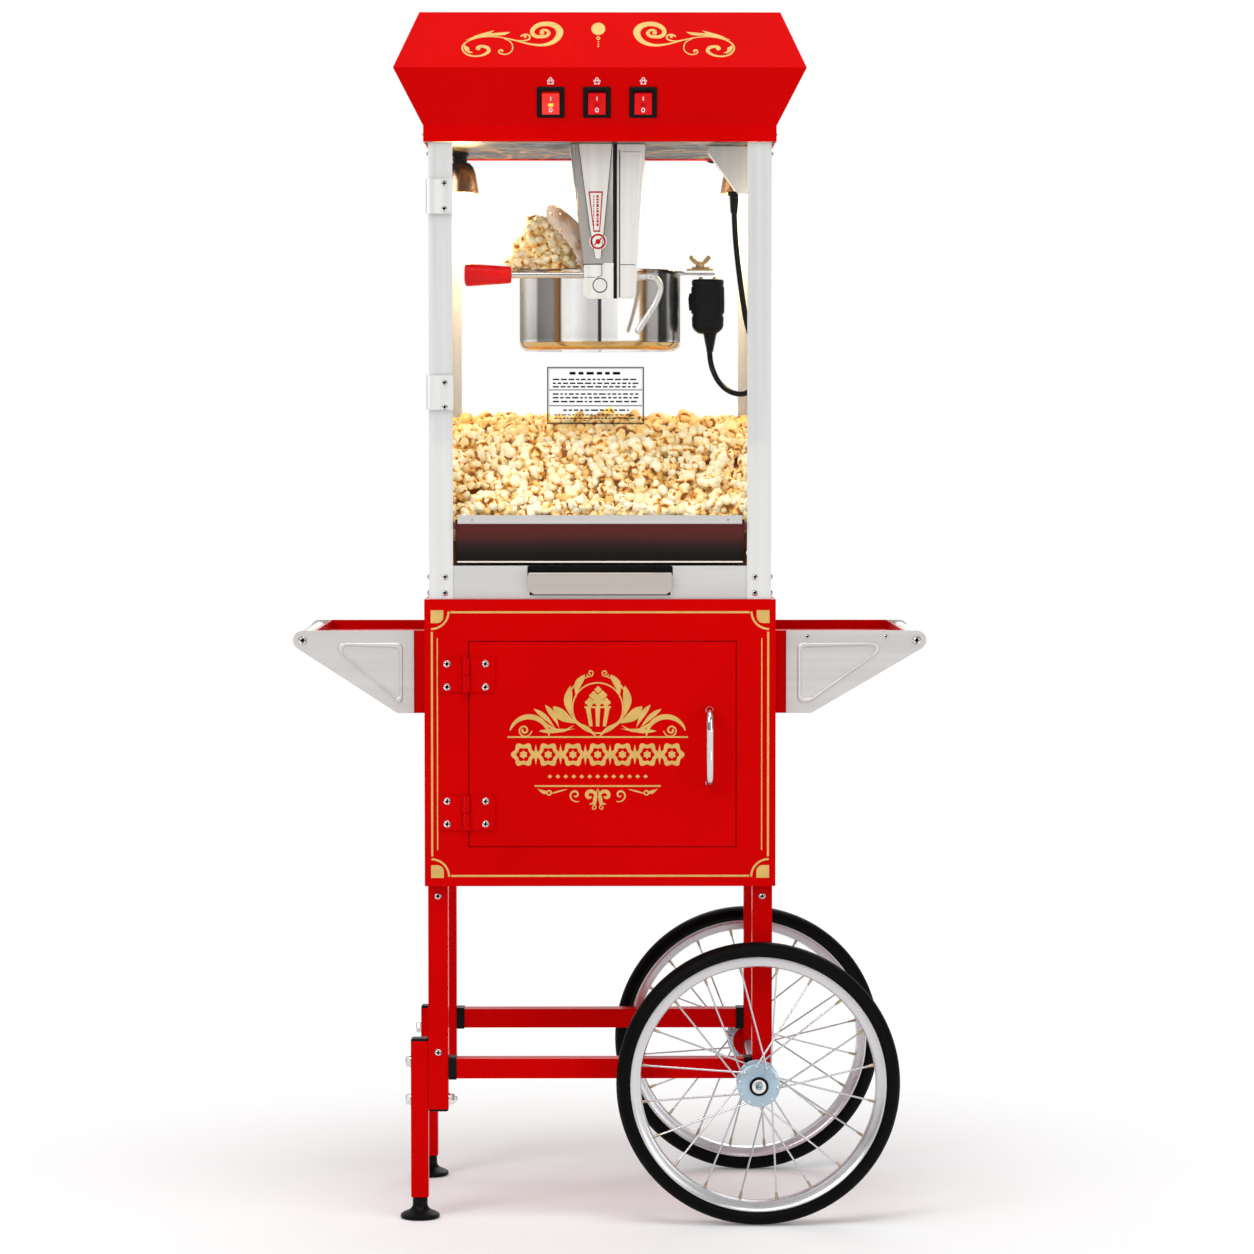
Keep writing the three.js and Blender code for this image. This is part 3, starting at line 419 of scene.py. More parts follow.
class Form:
    """Gathers the faces of one piece, which becomes one mesh."""

    def __init__(self):
        self.points = []
        self.faces = []
        self.recess_shades = []
        self.prints = 0

    def lift(self, h):
        """Each print of a piece lies a little over the one before, so that they cover each other cleanly."""
        self.prints += 1
        return h + PRINT_STEP * (self.prints % PRINT_LEVELS)

    def add(self, points, faces):
        first = len(self.points)
        self.points += [Vector(p) for p in points]
        self.faces += [[first + i for i in face] for face in faces]
        return self

    def loft(self, rings, closed=False, caps=True):
        """Skins rings of points. A ring of one point is a pole, and closed joins the last to the first."""
        starts, points, faces = [], [], []
        for ring in rings:
            starts.append(len(points))
            points += ring
        pairs = list(zip(range(len(rings)), range(1, len(rings))))
        if closed:
            pairs.append((len(rings) - 1, 0))
        for a, b in pairs:
            n = max(len(rings[a]), len(rings[b]))
            for i in range(n):
                j = (i + 1) % n
                one = [starts[a] + i, starts[a] + j] if len(rings[a]) > 1 else [starts[a]]
                two = [starts[b] + j, starts[b] + i] if len(rings[b]) > 1 else [starts[b]]
                faces.append(one + two)
        if caps and not closed:
            for k in (0, -1):
                if len(rings[k]) > 1:
                    faces.append([starts[k] + i for i in range(len(rings[k]))])
        return self.add(points, faces)

    def lathe(self, profile, origin, axis, segments=48, closed=False):
        """Turns a profile of (radius, distance along the axis), both in millimetres."""
        u, v = across(axis)
        rings = []
        for radius, along in profile:
            centre = origin + axis * along * MM
            if radius == 0:
                rings.append([centre])
                continue
            turns = [2 * math.pi * i / segments for i in range(segments)]
            rings.append([centre + radius * MM * (math.cos(t) * u + math.sin(t) * v) for t in turns])
        return self.loft(rings, closed, caps=False)

    def tube(self, line, radius, sides=16, round_ends=False):
        """A round bar along a line. The radius is a number, or a function of how far along it is."""
        width = radius if callable(radius) else lambda t: radius
        tangent = (line[1] - line[0]).normalized()
        side, _ = across(tangent)
        rings = []
        for i, point in enumerate(line):
            ahead = line[min(i + 1, len(line) - 1)] - line[max(i - 1, 0)]
            tangent = ahead.normalized()
            side = (side - tangent * side.dot(tangent)).normalized()
            other = tangent.cross(side)
            r = width(i / (len(line) - 1))
            turns = [2 * math.pi * k / sides for k in range(sides)]
            rings.append([point + r * (math.cos(t) * side + math.sin(t) * other) for t in turns])
        if round_ends:
            for k, way in ((0, -1), (-1, 1)):
                edge = rings[k]
                centre = sum(edge, Vector()) / sides
                out = (line[k] - line[1 if k == 0 else -2]).normalized() * (edge[0] - centre).length
                dome = [[centre + (p - centre) * c + out * s for p in edge]
                        for c, s in ((0.87, 0.3), (0.5, 0.55), (0, 0.63))]
                dome[-1] = dome[-1][:1]
                rings = rings + dome if way > 0 else dome[::-1] + rings
        return self.loft(rings)

    def block(self, low, high):
        xs, ys, zs = zip(low, high)
        points = [(x, y, z) for x in xs for y in ys for z in zs]
        return self.add(points, [[0, 1, 3, 2], [4, 6, 7, 5], [0, 4, 5, 1],
                                 [2, 3, 7, 6], [0, 2, 6, 4], [1, 5, 7, 3]])

    def slab(self, plane, outline, h0, h1):
        """An outline on a plane, with thickness from h0 to h1 out of it."""
        return self.loft([[plane.at(u, v, h) for u, v in outline] for h in (h0, h1)])

    def frame(self, plane, outer, inner, h0, h1):
        """A band between two outlines with equally many points."""
        rings = [[plane.at(u, v, h) for u, v in line] for line, h in
                 ((outer, h0), (outer, h1), (inner, h1), (inner, h0))]
        return self.loft(rings, closed=True)

    def print(self, plane, outline, h=PRINT):
        """A thin printed shape."""
        return self.slab(plane, outline, SUNK, self.lift(h))

    def band(self, plane, outer, inner, h=PRINT):
        """A thin printed band between two outlines."""
        return self.frame(plane, outer, inner, SUNK, h)

    def ribbon(self, plane, line, width, h=PRINT):
        """A thin printed stroke along a line of (u, v). The width is a number, or a function of t."""
        wide = width if callable(width) else lambda t: width
        h = self.lift(h)
        rings = []
        for i, (u, v) in enumerate(line):
            a, b = line[max(i - 1, 0)], line[min(i + 1, len(line) - 1)]
            away = math.hypot(b[0] - a[0], b[1] - a[1]) or 1
            nu, nv = -(b[1] - a[1]) / away, (b[0] - a[0]) / away
            half = max(wide(i / (len(line) - 1)), 0.00008) / 2
            sides = ((half, SUNK), (half, h), (-half, h), (-half, SUNK))
            rings.append([plane.at(u + nu * k, v + nv * k, up) for k, up in sides])
        return self.loft(rings)

    def piece(self, name, material, body, slot=None, bevel=0.0, replaces=()):
        """The finished mesh. Its edges are rounded by bevel, or else sharp wherever they turn enough."""
        mesh = bpy.data.meshes.new(name)
        work = bmesh.new()
        made = [work.verts.new(p) for p in self.points]
        for face in self.faces:
            work.faces.new([made[i] for i in face])
        bmesh.ops.recalc_face_normals(work, faces=work.faces)
        work.to_mesh(mesh)
        work.free()
        mesh.polygons.foreach_set("use_smooth", [True] * len(mesh.polygons))
        mesh.materials.append(material)
        made = bpy.data.objects.new(name, mesh)
        bpy.context.scene.collection.objects.link(made)
        if bevel:
            soften(made, bevel).harden_normals = True
        else:
            mesh.set_sharp_from_angle(angle=SHARP_ANGLE)
        if body:
            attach(made, body)
        if replaces:
            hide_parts(*replaces)
        # Painted shade: a black core sits in the cross recess of each screw head.
        if self.recess_shades:
            core = [(0, 0.1), (0.40, 0.1), (0.40, 0.55), (0.32, 0.60), (0, 0.60)]  # in screw head radii
            dark = Form()
            for place, out, radius in self.recess_shades:
                dark.lathe([(r * radius / MM, along * radius / MM) for r, along in core], place, out, 16)
            dark.piece(f"{name}_recesses", BLACK_PRINT, body)
        return made


def soften(piece, width):
    bevel = piece.modifiers.new("edge", "BEVEL")
    bevel.width = width
    bevel.segments = 2
    bevel.limit_method = "ANGLE"
    bevel.angle_limit = math.radians(30)
    return bevel


def mark(piece, name, value):
    """Stores value(point) on every vertex of the piece, for its material to read."""
    data = piece.data.attributes.new(name, "FLOAT", "POINT").data
    for vertex, entry in zip(piece.data.vertices, data):
        entry.value = value(vertex.co)


def dress(node, material, edge=0.0006):
    """A CAD node keeps its shape, and gets its finish and slightly rounded edges."""
    piece = bpy.data.objects[node]
    piece.data.materials.clear()
    piece.data.materials.append(material)
    if edge:
        flat = piece.modifiers.new("flat", "DECIMATE")
        flat.decimate_type = "DISSOLVE"
        flat.angle_limit = math.radians(0.5)
        soften(piece, edge)


def arc(u, v, radius, start, end, steps=12):
    """Points of (u, v) on an arc, from one angle to another in degrees."""
    angles = [math.radians(start + (end - start) * i / steps) for i in range(steps + 1)]
    return [(u + radius * math.cos(a), v + radius * math.sin(a)) for a in angles]


def circle(u, v, radius, steps=32):
    return arc(u, v, radius, 0, 360, steps)[:-1]


def round_rect(u, v, half_u, half_v, radius, steps=5):
    """A rectangle round (u, v) with round corners."""
    line = []
    for i, (su, sv) in enumerate(((1, 1), (-1, 1), (-1, -1), (1, -1))):
        corner = (u + su * (half_u - radius), v + sv * (half_v - radius))
        line += arc(*corner, radius, 90 * i, 90 * i + 90, steps)
    return line


def curve(points, per_span=6):
    """A smooth line of (u, v) through points."""
    return [tuple(p) for p in through(points, per_span)]


def oval(u, v, half_u, half_v, steps=24):
    turns = [math.tau * i / steps for i in range(steps)]
    return [(u + half_u * math.cos(a), v + half_v * math.sin(a)) for a in turns]


def mm(points):
    return [(u * MM, v * MM) for u, v in points]


def between(widths):
    """A stroke whose width passes through these values in turn, in millimetres."""
    last = len(widths) - 1

    def width(t):
        i = min(int(t * last), last - 1)
        return MM * (widths[i] + (widths[i + 1] - widths[i]) * (t * last - i))

    return width


def swell(big, small=0.25):
    """A stroke that is thin at both ends and big in the middle, in millimetres."""
    return lambda t: MM * (small + (big - small) * math.sin(math.pi * t) ** 0.8)


def rounded(corners, radius, steps=6):
    """A closed outline whose corners are rounded."""
    line = []
    n = len(corners)
    for i, corner in enumerate(corners):
        here = Vector(corner)
        before = (Vector(corners[i - 1]) - here).normalized()
        after = (Vector(corners[(i + 1) % n]) - here).normalized()
        half = before.angle(after) / 2
        reach = radius / math.tan(half)
        centre = here + (before + after).normalized() * radius / math.sin(half)
        a, b = here + before * reach - centre, here + after * reach - centre
        for k in range(steps + 1):
            line.append(tuple(centre + a.lerp(b, k / steps).normalized() * radius))
    return line


def screw_head(form, place, out, radius):
    """A pan head with a cross recess pressed into it."""
    u, v = across(out)
    rings = [[place + out * radius * 0.22]]
    rows, sides = 6, 24
    for k in range(1, rows + 1):
        ring = []
        for i in range(sides):
            turn = 2 * math.pi * i / sides
            r = k / rows
            a, b = r * math.cos(turn), r * math.sin(turn)
            slot_depth = 0.40 if min(abs(a), abs(b)) < 0.17 and r < 0.68 else 0.0
            height = radius * (0.46 * (1 - r ** 3) + 0.10 - slot_depth)
            ring.append(place + radius * (a * u + b * v) + out * max(height, 0.02 * radius))
        rings.append(ring)
    rings.append([p - out * radius * 0.12 for p in rings[-1]])
    form.loft(rings, caps=False)
    # The recess gets a black core as painted shade when the piece is made.
    form.recess_shades.append((place, out, radius))


def hex_head(form, place, out, across_flats, height):
    u, v = across(out)
    corner = across_flats / math.sqrt(3)

    def ring(scale, lift):
        turns = [math.pi * k / 3 for k in range(6)]
        return [place + out * lift + corner * scale * (math.cos(t) * u + math.sin(t) * v) for t in turns]

    form.loft([ring(1, 0), ring(1, height * 0.8), ring(0.86, height), [place + out * height]])


# ---------------------------------------------------------------- the kettle's lead

LEAD_DIAMETER = 0.007
LEAD_ROUTE = [
    (171, -60, 1294.7), (171, -60, 1281), (171.5, -60, 1262), (173.5, -60, 1232), (177, -60, 1200),
    (181.5, -60.5, 1166), (187, -61, 1134), (194.5, -61.5, 1107), (200.3, -62, 1089), (203, -62, 1074),
    (201.3, -60.3, 1061.8), (196.4, -55.3, 1051.4), (189.1, -48, 1044.4), (180.5, -39.3, 1042),
    (165.6, -24.2, 1046.2), (153, -11.5, 1058.2), (144.6, -3, 1076.1), (141.8, -0.2, 1091.5),
    (141.6, 0, 1108), (141.6, 0, 1119.7),
]


def kettle_lead():
    """One black lead from the outlet box to the kettle's plug, hanging in a loop that the kettle pulls on."""
    line = through([at(*p) for p in LEAD_ROUTE], 5)
    form = Form().tube(line, LEAD_DIAMETER / 2, 16)
    lead = form.piece("kettle_lead_sheath", SHEATH, None, "lead_sheath", replaces=["kettle_lead"])
    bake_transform(lead)


kettle_lead()


# ---------------------------------------------------------------- studio


WORLD_LIGHT = 0.62
SOFT_BOXES = [  # position round the horizon, brightness
    (0.0, 0.95), (0.06, 1.0), (0.09, 0.35), (0.15, 0.25), (0.19, 1.0), (0.24, 1.0), (0.27, 0.05),
    (0.31, 0.55), (0.34, 1.0), (0.50, 1.0), (0.64, 1.0), (0.68, 0.35), (0.72, 0.05), (0.76, 0.45),
    (0.80, 1.0), (0.85, 0.90), (0.89, 0.20), (0.925, 0.06), (0.95, 0.80), (0.985, 0.95), (0.99, 0.03),
]


def grey_stops(ramp, stops):
    elements = ramp.color_ramp.elements
    while len(elements) < len(stops):
        elements.new(0.5)
    for element, (position, value) in zip(elements, stops):
        element.position = position
        element.color = (value, value, value, 1)


def studio_world():
    """White for the camera, and soft boxes with darker gaps for the metal to reflect."""
    world = bpy.data.worlds.new("studio")
    bpy.context.scene.world = world
    world.use_nodes = True
    tree = world.node_tree
    tree.nodes.clear()

    def node(kind, **inputs):
        made = tree.nodes.new("ShaderNode" + kind)
        for key, value in inputs.items():
            made.inputs[key].default_value = value
        return made

    place = node("TexCoord")
    split = node("SeparateXYZ")
    tree.links.new(place.outputs["Generated"], split.inputs[0])
    turn = node("Math")
    turn.operation = "ARCTAN2"
    tree.links.new(split.outputs["X"], turn.inputs[0])
    tree.links.new(split.outputs["Y"], turn.inputs[1])
    around = node("MapRange", **{"From Min": -math.pi, "From Max": math.pi})
    tree.links.new(turn.outputs[0], around.inputs["Value"])
    boxes = node("ValToRGB")
    grey_stops(boxes, SOFT_BOXES)
    tree.links.new(around.outputs["Result"], boxes.inputs["Fac"])
    height = node("ValToRGB")
    grey_stops(height, ((0.0, 0.80), (0.9, 1.25)))
    tree.links.new(split.outputs["Z"], height.inputs["Fac"])
    both = node("Mix")
    both.data_type = "RGBA"
    both.blend_type = "MULTIPLY"
    both.inputs["Factor"].default_value = 1.0
    tree.links.new(boxes.outputs["Color"], both.inputs["A"])
    tree.links.new(height.outputs["Color"], both.inputs["B"])
    lit = node("Background", Strength=WORLD_LIGHT)
    tree.links.new(both.outputs["Result"], lit.inputs["Color"])
    white = node("Background", Color=(1, 1, 1, 1), Strength=1.0)
    ray = node("LightPath")
    mix = node("MixShader")
    tree.links.new(ray.outputs["Is Camera Ray"], mix.inputs[0])
    tree.links.new(lit.outputs[0], mix.inputs[1])
    tree.links.new(white.outputs[0], mix.inputs[2])
    out = node("OutputWorld")
    tree.links.new(mix.outputs[0], out.inputs["Surface"])


LIGHTS = [  # name, place, size, watts
    ("key", (-2.6, -3.4, 3.2), 2.0, 82),
    ("fill", (3.0, -3.2, 1.6), 2.4, 40),
    ("top", (0.2, -1.6, 4.4), 2.2, 62),
    ("behind", (0.4, 3.2, 2.6), 2.4, 36),
]


def studio_lights():
    target = Vector((0, 0, 0.8))
    for name, place, size, watts in LIGHTS:
        data = bpy.data.lights.new(name, "AREA")
        data.size = size
        data.energy = watts
        light = bpy.data.objects.new(name, data)
        light.location = place
        light.rotation_euler = (target - Vector(place)).to_track_quat("-Z", "Y").to_euler()
        bpy.context.scene.collection.objects.link(light)


def studio_floor():
    """A pale floor that takes the soft shadows near the cart, and turns evenly white further out."""
    look = Look("floor", (0.80, 0.80, 0.80), 0.9, Specular_IOR_Level=0.05)
    split = look.node("SeparateXYZ")
    look.link(look.place.outputs["Object"], split.inputs[0])
    flat = look.node("CombineXYZ")
    look.link(split.outputs["X"], flat.inputs["X"])
    look.link(split.outputs["Y"], flat.inputs["Y"])
    away = look.node("VectorMath", operation="LENGTH")
    look.link(flat.outputs[0], away.inputs[0])
    fade = look.map(away.outputs["Value"], 0.0, 1.0, 0.40, 1.15)
    look.tint(fade, (0.0, (0.80, 0.80, 0.80)), (1.0, (0.0, 0.0, 0.0)))
    glow = look.map(fade, 0.12, 1.02, 0.0, 1.0)
    look.shader.inputs["Emission Color"].default_value = (1, 1, 1, 1)
    look.link(glow, look.shader.inputs["Emission Strength"])
    mesh = bpy.data.meshes.new("floor")
    half = 30.0
    corners = [(-half, -half, 0), (half, -half, 0), (half, half, 0), (-half, half, 0)]
    mesh.from_pydata(corners, [], [(0, 1, 2, 3)])
    mesh.materials.append(look.material)
    floor = bpy.data.objects.new("floor", mesh)
    bpy.context.scene.collection.objects.link(floor)


studio_world()
studio_lights()
studio_floor()
bpy.context.scene.view_settings.view_transform = "Standard"

# ---------------------------------------------------------------- nodes that keep their shape

for node, material in {
    "cart_cabinet": RED, "cart_door": RED, "cart_hinge_upper": RED, "cart_hinge_lower": RED,
    "left_tray": RED, "right_tray": RED, "canopy": RED,
    "base_frame": ALUMINIUM_ACROSS,
    "ceiling_plate": CEILING_STEEL, "agitator_motor": BLACK, "lead_outlet_box": ALUMINIUM_UP,
    "glass_door_hinge_upper": ALUMINIUM_UP, "glass_door_hinge_lower": ALUMINIUM_UP,
    "front_left_post": ALUMINIUM_UP, "front_right_post": ALUMINIUM_UP,
    "back_left_post": ALUMINIUM_UP, "back_right_post": ALUMINIUM_UP,
    "left_window": WINDOW, "right_window": WINDOW, "back_window": WINDOW, "glass_door": WINDOW,
}.items():
    dress(node, material)
for end in ("front", "back"):
    for part in ("left_leg", "right_leg", "rail", "leg_extension"):
        dress(f"{end}_{part}", RED, 0.0012)

# ---------------------------------------------------------------- cupboard: lines, ornament, hinges, pull

FRONT = Plane(at(0, -180, 0), X_AXIS, Z_AXIS)


def gold_border():
    """Two gold lines round the cupboard's face, with a block and a hollow turn in each corner."""
    form = Form()
    top, bottom, middle = 768, 437, 602.5
    outer, line = 210.5, 2.5
    inner_left, inner_right = -203.75, 202.5
    for z in (top, bottom):
        form.ribbon(FRONT, mm([(-187, z), (187, z)]), line * MM)
    for x in (-outer, outer):
        form.ribbon(FRONT, mm([(x, 461.5), (x, 743.5)]), line * MM)
    for x in (inner_left, inner_right):
        form.ribbon(FRONT, mm([(x, 469.5), (x, 735.5)]), 1.4 * MM)
    for i in (-1, 1):
        for j in (-1, 1):
            edge = middle + j * (top - middle)
            turn = arc(0, 0, 22, 0, 90, 14)
            hollow = [(i * (outer + 1 - u), edge + j * (1 - v)) for u, v in turn]
            form.ribbon(FRONT, mm(hollow), line * MM)
            x, z = i * (outer - 6.5), edge - j * 5.5
            block = [(8, 8), (-8, 8), *arc(0, 0, 8, 180, 270, 8), (8, -8)]
            form.print(FRONT, mm([(x + i * a, z + j * b) for a, b in block]))
    form.piece("cupboard_gold_lines", GOLD, "cart")


def spiral(u, v, r0, r1, start, turns, steps=40):
    """A curl round (u, v) from radius r0 to r1. The angles are degrees, and turns may be negative."""
    line = []
    for i in range(steps + 1):
        t = i / steps
        a = math.radians(start) + 2 * math.pi * turns * t
        r = r0 * (r1 / r0) ** t
        line.append((u + r * math.cos(a), v + r * math.sin(a)))
    return line


def leaf(root, tip, belly, bend=0.0, steps=16):
    """A pointed leaf between two points, as a closed outline."""
    (u0, v0), (u1, v1) = root, tip
    nu, nv = -(v1 - v0), (u1 - u0)
    away = math.hypot(nu, nv)
    sides = [[], []]
    for i in range(steps + 1):
        t = i / steps
        mid = bend * math.sin(math.pi * t)
        wide = belly * math.sin(math.pi * t ** 1.5) ** 0.9
        for side, way in zip(sides, (1, -1)):
            k = (mid + way * wide) / away
            side.append((u0 + (u1 - u0) * t + nu * k, v0 + (v1 - v0) * t + nv * k))
    return sides[0] + sides[1][-2:0:-1]


def flower(u, v, radius, petals, depth, steps=60, turn=0.0):
    angles = [2 * math.pi * i / steps for i in range(steps)]
    reach = [radius * (1 + depth * math.cos(petals * a + turn)) for a in angles]
    return [(u + r * math.cos(a), v + r * math.sin(a)) for a, r in zip(angles, reach)]


def lozenge(u, v, half_u, half_v):
    return [(u - half_u, v), (u, v - half_v), (u + half_u, v), (u, v + half_v)]


def emblem():
    """A popcorn tub in a ring, with leaves and curls beside it and a row of rosettes under it."""
    form = Form()
    middle = -3.0
    rule, row, low = 611.5, 589.5, 550.0

    for way in (1, -1):
        def place(line):
            return mm([(middle + way * u, v) for u, v in line])

        def fill(line):
            form.print(FRONT, place(line))

        def stroke(line, width):
            form.ribbon(FRONT, place(line), width)

        for root, tip, belly, bend in (((24, 628), (56, 650), 6.5, -3), ((30, 632), (34, 676), 5.2, -5),
                                       ((27, 660), (16, 690), 4.4, -4), ((48, 622), (66, 652), 3.4, 2),
                                       ((52, 621), (80, 647), 3.0, 2), ((28, 622), (74, 619), 2.8, -1)):
            fill(leaf(root, tip, belly, bend))
        stroke(arc(86, 612, 25, 178, 18, 20), swell(6.5, 1.2))
        stroke(spiral(92, 620, 2.2, 9.5, 40, -1.6), between((2.6, 1.4)))
        stroke(curve([(30, 626), (45, 619), (62, 626), (74, 636)]), swell(3.2))
        stroke(spiral(9, 692, 1.4, 5.2, 250, 1.25), between((1.8, 1.2)))
        stroke(arc(0, 650, 39, 20, 77, 16), swell(2.2, 0.8))
        stroke(curve([(2, 612), (12, 622), (24, 628), (34, 640)]), swell(4.2, 0.8))
        fill(circle(53, 634, 2.6, 16))
        # the pair of curls below
        stroke(spiral(10, 538, 2.0, 11, 200, 1.2), swell(4.6, 1.0))
        stroke(spiral(28, 539, 1.8, 9.5, 330, -1.25), swell(2.4, 0.9))
        fill(leaf((0, 548), (4, 524), 2.4, 1))
        stroke(spiral(5, 523, 1.2, 4.2, 90, -1.1), between((1.6, 1.0)))
        stroke(curve([(38, 546), (50, 543), (60, 540)]), swell(2.0))
        fill(leaf((76, 547), (62, 541), 2.2, 1))
        form.band(FRONT, place(circle(61, 541.5, 3.6, 16)), place(circle(61, 541.5, 1.8, 16)))
    ring = 32.5
    form.band(FRONT, mm(circle(middle, 648, ring, 64)), mm(circle(middle, 648, ring - 1.8, 64)))
    for z, half in ((rule, 113), (low, 79)):
        form.ribbon(FRONT, mm([(middle - half, z), (middle + half, z)]), 2.0 * MM)
    # a striped tub with kernels heaped on it
    for k in (0, 2, 4):
        form.print(FRONT, mm([(middle - 15 + 6 * k, 648), (middle - 10.5 + 4.2 * k, 625),
                              (middle - 10.5 + 4.2 * (k + 1), 625), (middle - 15 + 6 * (k + 1), 648)]))
    form.ribbon(FRONT, mm([(middle - 16.5, 649), (middle + 16.5, 649)]), 2.2 * MM)
    for u, v, r in ((-10, 655, 5.2), (0.5, 656, 5.6), (10.5, 655, 5.0),
                    (-5, 663.5, 4.8), (6, 664, 5.0), (0.5, 671, 3.8)):
        form.print(FRONT, mm(flower(u + middle, v, r, 4, 0.16, 32)))
    # rosettes and lozenges by turns between the rules, and a row of small lozenges under them
    for k in range(-3, 4):
        u = middle + 31 * k
        form.band(FRONT, mm(flower(u, row, 14.0, 6, 0.13)), mm(flower(u, row, 8.4, 6, 0.10)))
        form.print(FRONT, mm(flower(u, row, 4.4, 6, 0.16, turn=math.pi)))
        if k < 3:
            form.print(FRONT, mm(lozenge(u + 15.5, row, 2.6, 13)))
    for k in range(-6, 7):
        form.print(FRONT, mm(lozenge(middle + 10 * k, 562, 3, 2.6)))
    form.piece("cupboard_ornament", GOLD, "cupboard_door")


def hinge_screws():
    out = -Y_AXIS
    fixed, moving = Form(), Form()
    for z in (703.5, 674.5, 531, 502.5):
        screw_head(fixed, at(-191.6, -182.4, z), out, 4.6 * MM)
        screw_head(moving, at(-143.6, -182.1, z), out, 4.6 * MM)
    fixed.piece("cupboard_hinge_screws_fixed", BRIGHT_STEEL, "cart", "zinc_plate")
    moving.piece("cupboard_hinge_screws_moving", BRIGHT_STEEL, "cupboard_door", "zinc_plate")


def door_pull():
    face, out, x, low, high = -180.3, -206.3, 137, 554, 645
    points = [(x, face, high), (x, face - 8, high), (x, out + 6, high - 3), (x, out, high - 12),
              (x, out - 1, (low + high) / 2), (x, out, low + 12), (x, out + 6, low + 3), (x, face - 8, low),
              (x, face, low)]
    line = through([at(*p) for p in points], 8)
    form = Form().tube(line, 4.5 * MM, 24)
    for z in (low, high):
        form.lathe([(0, 0), (5.4, 0), (5.4, 0.8), (4.8, 1.6), (0, 1.6)], at(x, face, z), -Y_AXIS, 24)
    form.piece("door_pull_bow", CHROME, "cupboard_door", "chrome", replaces=["cart_door_pull"])


def door_rebate():
    """A red step that closes most of the gap round the cupboard door."""
    plane = Plane(Vector((MIDDLE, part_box("cart_cabinet")[0].y, 0)), X_AXIS, Z_AXIS)
    left, right, bottom, top = -165, 171, 473, 732

    def ring(out):
        low, high = bottom - out, top + out
        return mm([(left - out, low), (right + out, low), (right + out, high), (left - out, high)])

    Form().frame(plane, ring(1.0), ring(0.15), -0.0030, -0.0007).piece("door_rebate", RED, "cart")


gold_border()
emblem()
hinge_screws()
door_pull()
door_rebate()

# ---------------------------------------------------------------- trays


def tray_trim(word, side, reach, foot):
    """The two pressed side plates of a tray, the bar between their noses, and the screws that hold them."""
    top, bottom, root, nose, half = 744, 640, 234, 12.3, 153.5
    centre = (reach - nose, top - nose)
    heel = (root + foot, bottom)
    slant = math.atan2(heel[1] - centre[1], heel[0] - centre[0])
    tangent = slant + math.acos(nose / math.hypot(heel[0] - centre[0], heel[1] - centre[1]))
    round_nose = arc(*centre, nose, math.degrees(tangent), 90, 18)
    outline = [(root, bottom), heel, *round_nose, (root, top)]
    rib = rounded([(root + 14, top - 15), (root + 14, bottom + 13), (root + foot - 3, bottom + 13),
                   (reach - 44, top - 15)], 7, 6)
    mid = (sum(u for u, v in rib) / len(rib), sum(v for u, v in rib) / len(rib))

    def shrunk(amount):
        line = []
        for u, v in rib:
            away = math.hypot(u - mid[0], v - mid[1])
            line.append((u + (mid[0] - u) * amount / away, v + (mid[1] - v) * amount / away))
        return line

    for end, way in (("front", -1), ("back", 1)):
        low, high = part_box(f"{word}_tray_{end}_bracket")
        inner, outer = (high.y, low.y) if way < 0 else (low.y, high.y)
        plane = Plane(Vector((MIDDLE, inner, 0)), X_AXIS * -way, Z_AXIS)
        flip = -way * side
        place = lambda line: [(flip * u * MM, v * MM) for u, v in line]
        thick = abs(outer - inner)
        form = Form().slab(plane, place(outline), 0, thick)
        bands = [(shrunk(3.6 - 3.6 * math.cos(t)), thick + 0.0027 * math.sin(t) - 0.0002)
                 for t in (math.pi * i / 6 for i in range(7))]
        bands += [(bands[-1][0], thick * 0.5), (bands[0][0], thick * 0.5)]
        form.loft([[plane.at(u, v, h) for u, v in place(line)] for line, h in bands], closed=True)
        form.piece(f"{word}_tray_{end}_side_plate", ALUMINIUM_BRACKET, "cart", "brushed_aluminium", 0.0004,
                   [f"{word}_tray_{end}_bracket"])
        screws = Form()
        out = Y_AXIS * way
        screw_head(screws, plane.at(flip * centre[0] * MM, centre[1] * MM, thick + 0.0004), out, 5.6 * MM)
        # only the right tray shows screws along the top of its plates
        for u in (root + 27, reach - 51) if side > 0 else ():
            screw_head(screws, plane.at(flip * u * MM, (top - 7.5) * MM, thick + 0.0003), out, 2.8 * MM)
        screws.piece(f"{word}_tray_{end}_screws", BRIGHT_STEEL, "cart", "zinc_plate")
    bar = Form()
    length = half + 0.3
    profile = [(0, -length), (9, -length), (10, -length + 1), (10, length - 1), (9, length), (0, length)]
    bar.lathe(profile, at(side * centre[0], 0, centre[1]), Y_AXIS, 36)
    bar.piece(f"{word}_tray_round_bar", ALUMINIUM_BRACKET, "cart", "brushed_aluminium",
              replaces=[f"{word}_tray_handle_bar"])
    screws = Form()
    for y in (-110, 0, 110):
        screw_head(screws, at(side * (root + 0.3), y, 690), X_AXIS * side, 4.2 * MM)
    screws.piece(f"{word}_tray_wall_screws", BRIGHT_STEEL, "cart", "zinc_plate")


tray_trim("left", -1, 386, 21)
tray_trim("right", 1, 410.5, 32)

# ---------------------------------------------------------------- legs, feet and their bolts


